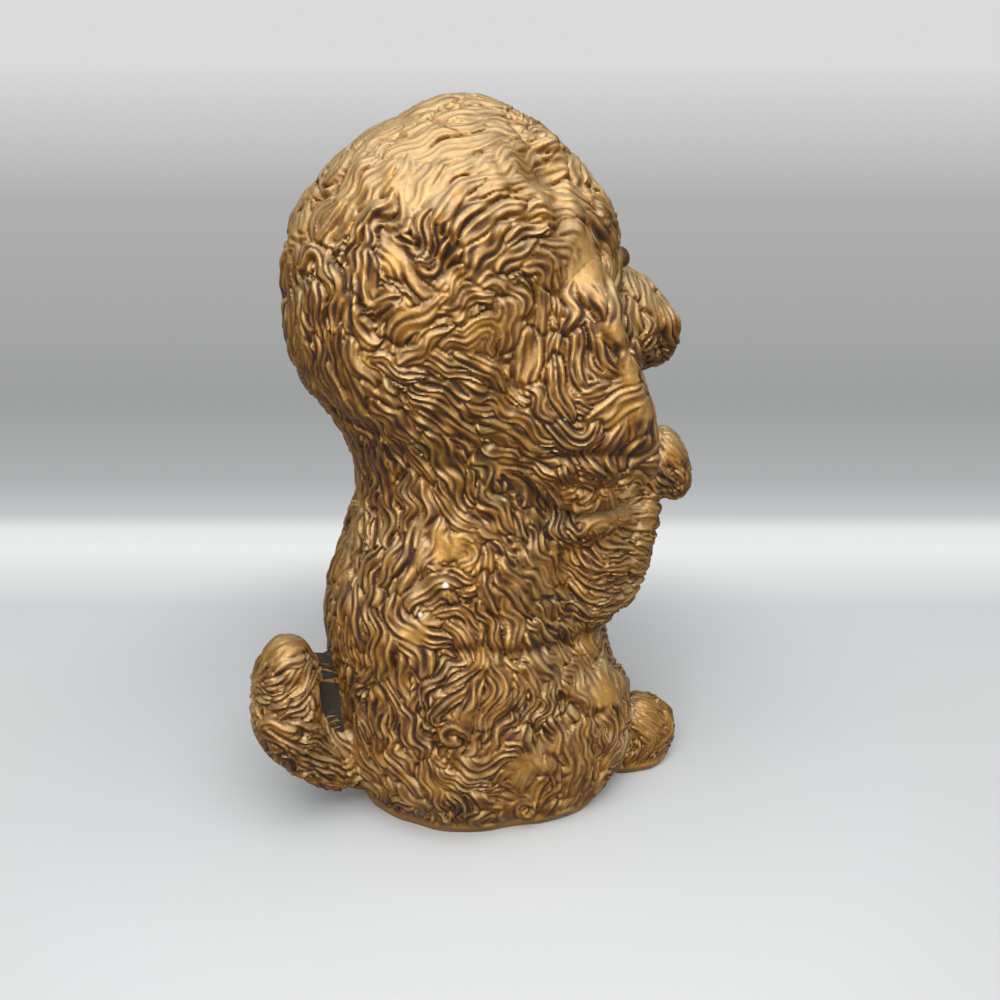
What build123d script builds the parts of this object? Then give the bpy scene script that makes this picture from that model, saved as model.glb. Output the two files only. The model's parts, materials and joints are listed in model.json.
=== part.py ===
from build123d import *
import math
import os

# A curly-coated dog sitting up to beg, cast in plaster and painted bronze.
# All lengths are millimetres. The dog faces -Y, its right side is at -X and +Z is up. The figure
# is modelled about the middle of its base ring and moved at the end, so that the origin is the
# bottom centre of the box round the whole figure.

# Casting
CAST_WALL = 7.0
OVERRUN = 5.0

# Trunk, from the base ring up to the neck
TRUNK_HEIGHT = 158.0
TRUNK_WIDTH = 108.0
TRUNK_DEPTH = 132.0
TRUNK_SETBACK = 13.0

# Head, from the neck up to the crown
HEAD_HEIGHT = 148.0
HEAD_WIDTH = 110.0
HEAD_DEPTH = 140.0
HEAD_SETBACK = 22.0

# Rows of height, setback, width and depth, each a share of the trunk's or the head's own size
TRUNK_SHARES = [
    (0.00, -0.020, 0.83, 0.85),
    (0.08, -0.015, 0.92, 0.95),
    (0.23, 0.000, 1.00, 1.00),
    (0.39, 0.020, 1.00, 0.98),
    (0.56, 0.055, 0.95, 0.95),
    (0.71, 0.055, 0.90, 0.88),
    (0.85, 0.045, 0.85, 0.78),
    (1.00, 0.030, 0.80, 0.74),
]
HEAD_SHARES = [
    (0.14, -0.030, 0.84, 0.80),
    (0.28, -0.015, 0.94, 0.94),
    (0.43, 0.000, 0.99, 1.00),
    (0.58, 0.000, 1.00, 0.99),
    (0.72, -0.007, 0.94, 0.90),
    (0.83, -0.010, 0.79, 0.73),
    (0.92, -0.020, 0.56, 0.51),
    (0.98, -0.030, 0.29, 0.27),
    (1.00, -0.035, 0.12, 0.11),
]

# Haunch, a rounded mass on each side of the trunk that reaches forward to the knee. Its spread is a
# share of the trunk's width, and its setback from the trunk's middle is a share of the trunk's depth.
HAUNCH_LENGTH = 92.0
HAUNCH_HEIGHT = 80.0
HAUNCH_SINK = 8.0
HAUNCH_THICKNESS = 46.0
HAUNCH_SPREAD_SHARE = 0.305
HAUNCH_SETBACK_SHARE = -0.114

# Muzzle
MUZZLE_LENGTH = 33.0
MUZZLE_WIDTH = 52.0
MUZZLE_HEIGHT = 48.0
MUZZLE_LEVEL_SHARE = 0.395
# Rows of reach, drop, width and height, from inside the head to the snout's tip
MUZZLE_SHARES = [
    (-0.60, 0.00, 0.96, 0.92),
    (0.00, 0.02, 1.00, 1.00),
    (0.40, 0.09, 0.88, 0.90),
    (0.72, 0.17, 0.70, 0.72),
    (0.92, 0.22, 0.48, 0.50),
    (1.00, 0.24, 0.20, 0.22),
]

# Ears, placed by shares of the head's height and depth
EAR_LENGTH = 102.0
EAR_WIDTH = 60.0
EAR_THICKNESS = 20.0
EAR_TOP_SHARE = 0.622
EAR_SETBACK_SHARE = -0.264
EAR_TOE_IN = 14.0
# Rows of drop, width, thickness, stand-out from the middle of the head and shift to the rear
EAR_SHARES = [
    (0.00, 0.30, 0.56, 0.72, 0.10),
    (0.12, 0.52, 0.80, 0.88, 0.13),
    (0.32, 0.78, 0.96, 0.97, 0.16),
    (0.55, 0.94, 1.00, 1.00, 0.14),
    (0.76, 1.00, 1.00, 0.98, 0.06),
    (0.90, 0.84, 0.84, 0.95, 0.01),
    (0.97, 0.56, 0.58, 0.93, 0.00),
    (1.00, 0.26, 0.30, 0.92, 0.00),
]

# Forelegs: a broad upper part laid against the trunk narrows to the wrist, and the paw droops.
# They are placed by shares of the trunk's width, height and depth.
LEG_SPREAD_SHARE = 0.324
LEG_REACH = 46.0
LEG_DEPTH = 64.0
LEG_THICKNESS = 29.0
LEG_LEVEL_SHARE = 0.715
LEG_SETBACK_SHARE = -0.1515
# Rows of reach, rise, depth, thickness, spread and upward tilt, the tilt a share of a right angle
LEG_SHARES = [
    (0.00, 0.00, 0.92, 0.90, 0.66, 0.00),
    (0.36, 0.02, 0.94, 1.00, 0.98, 0.04),
    (0.68, 0.14, 0.76, 0.98, 0.96, 0.24),
    (0.90, 0.34, 0.47, 0.90, 0.88, 0.44),
    (1.00, 0.56, 0.32, 0.78, 0.80, 0.60),
]
PAW_LENGTH = 36.0
PAW_WIDTH = 24.0
PAW_DEPTH = 20.0
PAW_DROOP = 18.0
# The knuckle's and the paw's places ahead of the wrist and above it, as shares of the paw's size
KNUCKLE_SHARES = (0.125, 0.133)
PAW_SHARES = (0.60, 0.143)

# Hind feet, which stand ahead of the haunches
FOOT_LENGTH = 46.0
FOOT_WIDTH = 31.0
FOOT_HEIGHT = 38.0
FOOT_SPREAD_SHARE = 0.194
FOOT_STAND = 34.0
FOOT_LEVEL_SHARE = 0.40

# Tail, a curved stem that ends in a pompom, with a gap between the pompom and the rump
TAIL_STEM_RADIUS = 13.0
TAIL_POMPOM_RADIUS = 16.0
TAIL_GAP = 7.0
TAIL_HEIGHT = 92.0
TAIL_ROOT_SINK = 17.0
# Rows of reach, height, radius and tilt of the section, the tilt a share of a right angle
TAIL_SHARES = [
    (0.00, 0.17, 0.86, 0.14),
    (0.34, 0.24, 0.90, 0.28),
    (0.66, 0.37, 0.88, 0.54),
    (0.84, 0.52, 0.92, 0.86),
    (0.88, 0.69, 0.98, 1.00),
    (0.85, 0.84, 0.90, 1.06),
    (0.80, 0.95, 0.62, 1.10),
    (0.78, 1.00, 0.26, 1.12),
]
WEB_THICKNESS = 6.0
WEB_HEIGHT = 40.0
WEB_LEVEL_SHARE = 0.674
WEB_ROOT_SHARE = 0.25

# Slip plaster: the bead inside the parting joint and the smears over the stuck-on pieces
BEAD_WIDTH = 9.0
BEAD_HEIGHT = 2.5
BEAD_SEAT = 0.6
SMEAR_STAND = 3.0
EAR_SMEAR_LENGTH = 30.0
EAR_SMEAR_WIDTH = 24.0
SHOULDER_SMEAR_LENGTH = 46.0
SHOULDER_SMEAR_WIDTH = 20.0
EAR_SMEAR_DROP_SHARE = 0.33
SHOULDER_SMEAR_REACH_SHARE = 0.33

# Iron wires that hold the forelegs and the tail
WIRE_DIAMETER = 2.5
WIRE_BEND_RADIUS = 8.0
WIRE_TAIL_END = 9.0
WIRE_ROOT_SHARE = 0.125

# Main locks of the coat: rounded ribs that stand on the cast surface. The sway is in degrees, and
# the turns say how far its wave goes on from one row or column of locks to the next, in radians.
LOCK_SPACING = 14.0
LOCK_LENGTH = 18.0
LOCK_RADIUS = 3.6
LOCK_STAND = 1.3
LOCK_CLEARANCE = 1.0
LOCK_SWAY = 34
SWAY_ROW_TURN = 2.1
SWAY_COLUMN_TURN = 1.3

NECK_LEVEL = TRUNK_HEIGHT
CROWN_LEVEL = TRUNK_HEIGHT + HEAD_HEIGHT
HAUNCH_MIDDLE = TRUNK_SETBACK + HAUNCH_SETBACK_SHARE * TRUNK_DEPTH
EAR_TOP = NECK_LEVEL + EAR_TOP_SHARE * HEAD_HEIGHT
EAR_MIDDLE = HEAD_SETBACK + EAR_SETBACK_SHARE * HEAD_DEPTH
LEG_SPREAD = LEG_SPREAD_SHARE * TRUNK_WIDTH
LEG_LEVEL = LEG_LEVEL_SHARE * TRUNK_HEIGHT
LEG_ROOT = TRUNK_SETBACK + LEG_SETBACK_SHARE * TRUNK_DEPTH
TAIL_ROOT = TRUNK_SETBACK + TRUNK_DEPTH / 2 - TAIL_ROOT_SINK
TAIL_REACH = (TAIL_ROOT_SINK + TAIL_GAP + TAIL_POMPOM_RADIUS) / TAIL_SHARES[-3][0]
RIGHT_ANGLE = 90
EGG_STEPS = 3
EGG_REACH = math.radians(80)


def oval(half_x, half_y):
    """A flat oval face with its start point always on the same side."""
    return scale(Circle(1), by=(half_x, half_y, 1))


def egg(centre, half_x, half_y, half_z):
    """A rounded solid, lofted along X through ovals whose size follows a half circle."""
    sections = []
    for step in range(-EGG_STEPS, EGG_STEPS + 1):
        angle = EGG_REACH * step / EGG_STEPS
        size = math.cos(angle)
        place = Pos(half_x * math.sin(angle), 0, 0) * Rotation(0, RIGHT_ANGLE, 0)
        sections.append(place * oval(half_z * size, half_y * size))
    return Pos(*centre) * loft(sections)


def core_sections(inset):
    """The trunk's and the head's oval sections, drawn in by the inset."""
    sections = []
    for height, setback, width, depth in TRUNK_SHARES:
        place = Pos(0, TRUNK_SETBACK + setback * TRUNK_DEPTH, height * TRUNK_HEIGHT)
        half_x = width * TRUNK_WIDTH / 2 - inset
        half_y = depth * TRUNK_DEPTH / 2 - inset
        sections.append(place * oval(half_x, half_y))
    for height, setback, width, depth in HEAD_SHARES:
        level = NECK_LEVEL + height * (HEAD_HEIGHT - inset)
        shrink = 1 - 2 * inset / HEAD_WIDTH
        place = Pos(0, HEAD_SETBACK + setback * HEAD_DEPTH, level)
        half_x = width * HEAD_WIDTH / 2 * shrink
        half_y = depth * (HEAD_DEPTH / 2 - inset)
        sections.append(place * oval(half_x, half_y))
    return sections


def above_ground(shape):
    """The part of a shape that is above the surface that the figure stands on."""
    reach = TRUNK_DEPTH + HEAD_DEPTH
    block = Pos(0, 0, CROWN_LEVEL) * Box(2 * reach, 2 * reach, 2 * CROWN_LEVEL)
    return shape & block


def outer_core():
    """The outside of the trunk and the head as one solid."""
    return loft(core_sections(0))


def cavity(inset):
    """The hollow inside, open through the base ring."""
    inner = loft(core_sections(inset))
    height, setback, width, depth = TRUNK_SHARES[0]
    mouth = oval(width * TRUNK_WIDTH / 2 - inset, depth * TRUNK_DEPTH / 2 - inset)
    place = Pos(0, TRUNK_SETBACK + setback * TRUNK_DEPTH, 0)
    return inner + place * extrude(mouth, -OVERRUN)


def haunch(side):
    """The thigh mass on one side, its lowest part sunk below the ground and cut off later."""
    half_height = (HAUNCH_HEIGHT + HAUNCH_SINK) / 2
    centre = (side * HAUNCH_SPREAD_SHARE * TRUNK_WIDTH, HAUNCH_MIDDLE, HAUNCH_HEIGHT - half_height)
    return egg(centre, HAUNCH_THICKNESS / 2, HAUNCH_LENGTH / 2, half_height)


def muzzle():
    """The curly muzzle, lofted forward from inside the head to the snout's tip."""
    level = NECK_LEVEL + MUZZLE_LEVEL_SHARE * HEAD_HEIGHT
    face = HEAD_SETBACK - HEAD_DEPTH / 2
    sections = []
    for reach, drop, width, height in MUZZLE_SHARES:
        place = Pos(0, face - reach * MUZZLE_LENGTH, level - drop * MUZZLE_HEIGHT)
        section = oval(width * MUZZLE_WIDTH / 2, height * MUZZLE_HEIGHT / 2)
        sections.append(place * Rotation(RIGHT_ANGLE, 0, 0) * section)
    return loft(sections)


def ear(side):
    """One hanging ear, before it is fitted to the head."""
    sections = []
    for drop, width, thickness, stand, shift in EAR_SHARES:
        x = side * stand * (HEAD_WIDTH / 2)
        y = EAR_MIDDLE + shift * EAR_WIDTH
        z = EAR_TOP - drop * EAR_LENGTH
        place = Pos(x, y, z) * Rotation(0, 0, side * EAR_TOE_IN)
        sections.append(place * oval(thickness * EAR_THICKNESS / 2, width * EAR_WIDTH / 2))
    return loft(sections)


def wrist_place(side):
    """The middle of one foreleg's last section."""
    reach, rise, _, _, spread, _ = LEG_SHARES[-1]
    x = side * spread * LEG_SPREAD
    return (x, LEG_ROOT - reach * LEG_REACH, LEG_LEVEL + rise * LEG_DEPTH)


def foreleg(side):
    """One foreleg with its drooping paw, before it is fitted to the trunk."""
    sections = []
    for reach, rise, depth, thickness, spread, tilt in LEG_SHARES:
        x = side * spread * LEG_SPREAD
        y = LEG_ROOT - reach * LEG_REACH
        z = LEG_LEVEL + rise * LEG_DEPTH
        place = Pos(x, y, z) * Rotation(RIGHT_ANGLE - tilt * RIGHT_ANGLE, 0, 0)
        sections.append(place * oval(thickness * LEG_THICKNESS / 2, depth * LEG_DEPTH / 2))
    limb = loft(sections)
    x, y, z = wrist_place(side)
    half = PAW_WIDTH / 2
    ahead, above = KNUCKLE_SHARES
    knuckle = egg((x, y - ahead * PAW_DEPTH, z + above * PAW_LENGTH), half, half, half)
    ahead, above = PAW_SHARES
    paw = egg((0, 0, 0), half, PAW_DEPTH / 2, PAW_LENGTH / 2)
    place = Pos(x, y - ahead * PAW_DEPTH, z + above * PAW_LENGTH)
    return limb + knuckle + place * Rotation(-PAW_DROOP, 0, 0) * paw


def hind_foot(side):
    """One hind foot, before it is fitted to the haunch."""
    level = FOOT_LEVEL_SHARE * FOOT_HEIGHT
    toes = HAUNCH_MIDDLE - HAUNCH_LENGTH / 2 - FOOT_STAND
    centre = (side * FOOT_SPREAD_SHARE * TRUNK_WIDTH, toes + FOOT_LENGTH / 2, level)
    return above_ground(egg(centre, FOOT_WIDTH / 2, FOOT_LENGTH / 2, FOOT_HEIGHT - level))


def tail():
    """The tail's stem and pompom, before it is fitted to the rump."""
    sections = []
    for reach, height, radius, tilt in TAIL_SHARES:
        full = TAIL_STEM_RADIUS if tilt < 1 / 2 else TAIL_POMPOM_RADIUS
        y = TAIL_ROOT + reach * TAIL_REACH
        z = height * TAIL_HEIGHT
        place = Pos(0, y, z) * Rotation(RIGHT_ANGLE * tilt - RIGHT_ANGLE, 0, 0)
        sections.append(place * oval(radius * full, radius * full))
    return above_ground(loft(sections))


def wall_line(inset):
    """Places on the parting plane, inside the cast surface, up the front and then down the rear."""
    rows = []
    for height, setback, _, depth in TRUNK_SHARES[1:]:
        middle = TRUNK_SETBACK + setback * TRUNK_DEPTH
        rows.append((middle, depth * TRUNK_DEPTH / 2 - inset, height * TRUNK_HEIGHT))
    for height, setback, _, depth in HEAD_SHARES:
        middle = HEAD_SETBACK + setback * HEAD_DEPTH
        level = NECK_LEVEL + height * (HEAD_HEIGHT - inset)
        rows.append((middle, depth * (HEAD_DEPTH / 2 - inset), level))
    front = [(0, middle - half, level) for middle, half, level in rows]
    rear = [(0, middle + half, level) for middle, half, level in rows]
    return front + rear[::-1]


def bead():
    """The slip plaster run along the inside of the parting joint, clear of the pour hole."""
    outer = Spline(*wall_line(CAST_WALL + BEAD_SEAT))
    inner = Spline(*wall_line(CAST_WALL + BEAD_SEAT + BEAD_HEIGHT))
    face = make_face([outer, Line(outer @ 1, inner @ 1), inner, Line(inner @ 0, outer @ 0)])
    return extrude(face, BEAD_WIDTH / 2, dir=(1, 0, 0), both=True)


def half_space(side):
    """Everything on one side of the parting plane."""
    reach = TRUNK_DEPTH + HEAD_DEPTH
    return Pos(side * reach, 0, CROWN_LEVEL / 2) * Box(2 * reach, 4 * reach, 4 * CROWN_LEVEL)


def ear_smear(side):
    """The smoothed patch of slip plaster over the root of one ear."""
    _, _, thickness, stand, _ = EAR_SHARES[0]
    level = EAR_TOP - EAR_SMEAR_DROP_SHARE * EAR_SMEAR_LENGTH
    centre = (side * stand * HEAD_WIDTH / 2, EAR_MIDDLE, level)
    half_x = thickness * EAR_THICKNESS / 2 + SMEAR_STAND
    return egg(centre, half_x, EAR_SMEAR_WIDTH / 2, EAR_SMEAR_LENGTH / 2)


def shoulder_smear(side):
    """The smoothed patch of slip plaster over the root of one foreleg."""
    half_z = SHOULDER_SMEAR_WIDTH / 2
    y = LEG_ROOT - SHOULDER_SMEAR_REACH_SHARE * LEG_REACH
    level = LEG_LEVEL + LEG_DEPTH / 2 + SMEAR_STAND - half_z
    centre = (side * LEG_SPREAD, y, level)
    return egg(centre, LEG_THICKNESS / 2, SHOULDER_SMEAR_LENGTH / 2, half_z)


def tail_web():
    """The web of slip plaster between the rump and the tail, on the parting plane."""
    rump = TRUNK_SETBACK + WEB_ROOT_SHARE * TRUNK_DEPTH
    length = TAIL_ROOT + TAIL_REACH * TAIL_SHARES[-1][0] - rump
    plate = Box(WEB_THICKNESS, length, WEB_HEIGHT)
    return Pos(0, rump + length / 2, WEB_LEVEL_SHARE * TAIL_HEIGHT) * plate


def wire(points):
    """A bent iron wire along a list of places."""
    route = FilletPolyline(*points, radius=WIRE_BEND_RADIUS)
    section = Plane(origin=route @ 0, z_dir=route % 0) * Circle(WIRE_DIAMETER / 2)
    return sweep(section, path=route)


def foreleg_wire(side):
    """The wire from the hollow through the wall and along one foreleg into the paw."""
    root_y = LEG_ROOT - LEG_REACH * LEG_SHARES[1][0]
    inside = (side * (TRUNK_WIDTH / 4), LEG_ROOT, LEG_LEVEL)
    root = (side * LEG_SPREAD, root_y, LEG_LEVEL + WIRE_ROOT_SHARE * LEG_DEPTH)
    return wire([inside, root, wrist_place(side)])


def tail_wire():
    """The wire from the hollow through the wall and up the tail's stem."""
    wall = TRUNK_SETBACK + TRUNK_DEPTH / 2 - CAST_WALL
    inside = (0, wall - WIRE_TAIL_END, TAIL_SHARES[1][1] * TAIL_HEIGHT)
    bend_y = TAIL_ROOT + TAIL_SHARES[3][0] * TAIL_REACH
    bend = (0, bend_y, TAIL_SHARES[2][1] * TAIL_HEIGHT)
    tip_y = TAIL_ROOT + TAIL_SHARES[4][0] * TAIL_REACH
    tip = (0, tip_y, TAIL_SHARES[4][1] * TAIL_HEIGHT)
    return wire([inside, bend, tip])


def lock():
    """One main lock of the coat, lying along X."""
    straight = LOCK_LENGTH / 2 - LOCK_RADIUS
    rib = Cylinder(LOCK_RADIUS, 2 * straight)
    for end in (-1, 1):
        rib = rib + Pos(0, 0, end * straight) * Sphere(LOCK_RADIUS)
    return Rotation(0, RIGHT_ANGLE, 0) * rib


def lock_plane(point, normal, sway):
    """The plane that one lock lies in, its X pointing down along the surface and then swayed."""
    down = Vector(0, 0, -1)
    along = (down - normal * down.dot(normal)).normalized()
    along = along.rotate(Axis((0, 0, 0), normal), sway)
    return Plane(origin=point - normal * (LOCK_RADIUS - LOCK_STAND), x_dir=along, z_dir=normal)


def within(point, box, reach):
    """Whether a place is in a box that is widened by the reach."""
    return all(low - reach < at < high + reach for low, at, high in zip(box.min, point, box.max))


def left_locks(outside, neighbours):
    """The left side's main locks, in rows, clear of the joints, the ground and the neighbours."""
    rows = int(CROWN_LEVEL // LOCK_SPACING)
    columns = round(math.pi * TRUNK_WIDTH / 2 / LOCK_SPACING)
    reach = LOCK_LENGTH / 2 + LOCK_CLEARANCE
    boxes = [solid.bounding_box() for solid in neighbours]
    rib = lock()
    locks = []
    for row in range(1, rows):
        level = row * LOCK_SPACING
        middle = TRUNK_SETBACK if level < NECK_LEVEL else HEAD_SETBACK
        for column in range(columns):
            angle = math.pi * (column + 1 / 4 + row % 2 / 2) / columns
            outward = Vector(math.sin(angle), -math.cos(angle), 0)
            axis = Axis((0, middle, level), outward)
            point, normal = outside.find_intersection_points(axis)[-1]
            if min(point.X, point.Z) < reach or any(within(point, box, reach) for box in boxes):
                continue
            if normal.dot(outward) < 0:
                normal = normal * -1
            sway = LOCK_SWAY * math.sin(row * SWAY_ROW_TURN + column * SWAY_COLUMN_TURN)
            locks.append(Location(lock_plane(point, normal, sway)) * rib)
    return locks


def left_pieces(outside, wires):
    """The pieces on the left side, each cut to fit the ones that it is stuck to."""
    side = 1
    lobe = ear(side)
    limb = foreleg(side)
    foot = hind_foot(side)
    root_patch = ear_smear(side)
    patch = shoulder_smear(side) - outside - limb
    stuck_on = [lobe, limb, foot, root_patch, patch, tail(), tail_web()]
    coated = (outside & half_space(side)).fuse(*left_locks(outside, stuck_on))
    shell = coated - cavity(CAST_WALL)
    for solid in wires.values():
        shell = shell - solid
    return {
        "shell": shell,
        "ear": lobe - outside,
        "foreleg": limb - outside - wires["foreleg_wire"] - lobe,
        "hind_foot": foot - outside,
        "ear_smear": root_patch - outside - lobe,
        "shoulder_smear": patch - lobe,
        "foreleg_wire": wires["foreleg_wire"],
    }


def figure():
    """All pieces by name. Those on the right mirror those on the left."""
    outside = outer_core() + muzzle()
    for side in (-1, 1):
        outside = outside + haunch(side)
    outside = above_ground(outside)
    wires = {"foreleg_wire": foreleg_wire(1), "tail_wire": tail_wire()}
    pieces = {"inner_seam_bead": bead() - wires["tail_wire"]}
    for name, solid in left_pieces(outside, wires).items():
        pieces["left_" + name] = solid
        pieces["right_" + name] = mirror(solid, about=Plane.YZ)
    plume = tail() - outside
    pieces["tail"] = plume - wires["tail_wire"]
    pieces["tail_web"] = tail_web() - outside - plume
    pieces["tail_wire"] = wires["tail_wire"]
    return pieces


def standing(pieces):
    """The pieces moved so that the origin is the bottom centre of the box round them."""
    boxes = [solid.bounding_box() for solid in pieces.values()]
    front = min(box.min.Y for box in boxes)
    rear = max(box.max.Y for box in boxes)
    shift = Pos(0, -(front + rear) / 2, 0)
    print("moved by", round(-(front + rear) / 2, 3))
    return {name: shift * solid for name, solid in pieces.items()}


if __name__ == "__main__":
    os.makedirs("parts", exist_ok=True)
    for name, solid in standing(figure()).items():
        print(name, round(solid.volume), len(solid.solids()), solid.is_valid)
        export_step(solid, "parts/" + name + ".step")
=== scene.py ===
import functools
import json
import math

import bmesh
import bpy
import numpy as np
from bpy.props import FloatProperty, FloatVectorProperty, IntProperty, PointerProperty
from mathutils import Matrix, Vector
from mathutils.bvhtree import BVHTree
from mathutils.kdtree import KDTree

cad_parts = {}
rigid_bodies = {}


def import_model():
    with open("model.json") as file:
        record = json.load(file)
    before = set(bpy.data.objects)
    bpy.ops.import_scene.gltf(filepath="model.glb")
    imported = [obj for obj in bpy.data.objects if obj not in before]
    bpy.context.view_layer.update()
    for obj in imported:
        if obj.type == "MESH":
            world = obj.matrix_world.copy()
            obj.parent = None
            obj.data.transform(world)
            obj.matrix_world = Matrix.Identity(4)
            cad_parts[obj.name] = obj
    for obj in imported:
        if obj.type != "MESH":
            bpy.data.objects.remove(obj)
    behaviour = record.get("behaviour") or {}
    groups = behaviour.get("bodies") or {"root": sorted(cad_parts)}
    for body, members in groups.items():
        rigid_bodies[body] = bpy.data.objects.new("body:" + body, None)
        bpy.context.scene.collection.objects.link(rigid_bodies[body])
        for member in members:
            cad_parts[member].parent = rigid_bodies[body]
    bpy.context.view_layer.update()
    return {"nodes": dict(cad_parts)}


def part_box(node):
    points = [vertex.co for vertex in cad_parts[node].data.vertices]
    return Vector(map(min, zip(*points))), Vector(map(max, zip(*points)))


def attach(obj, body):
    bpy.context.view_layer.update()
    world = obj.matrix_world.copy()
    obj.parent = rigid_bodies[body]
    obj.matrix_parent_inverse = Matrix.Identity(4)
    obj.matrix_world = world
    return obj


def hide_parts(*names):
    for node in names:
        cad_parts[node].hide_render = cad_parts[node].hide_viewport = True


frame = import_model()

# The outer skin of the whole figure is made once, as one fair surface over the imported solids. Its
# folds, its face and its curls are carved into it, and then it is parted along the real joints into
# the pieces, each closed by the face that it is stuck on with.

bl_info = {
    "name": "Chalkware dog",
    "version": (1, 1, 0),
    "blender": (4, 5, 0),
    "location": "View3D > Sidebar > Chalkware",
    "description": "Dresses the packed chalkware dog with its carved coat, paint and stage",
    "category": "Object",
}

SIDES = {"right": -1, "left": 1}
PAIRS = ("ear", "foreleg", "hind_foot", "ear_smear", "shoulder_smear")
STUCK_ON = [f"{side}_{name}" for name in PAIRS for side in SIDES] + ["tail", "tail_web"]
WIRES = ("right_foreleg_wire", "left_foreleg_wire", "tail_wire")
MM = 0.001
PHOTO_WIDTH = 1000
SENSOR_WIDTH = 36
RANGE = ("Value", "From Min", "From Max", "To Min", "To Max")

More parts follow.
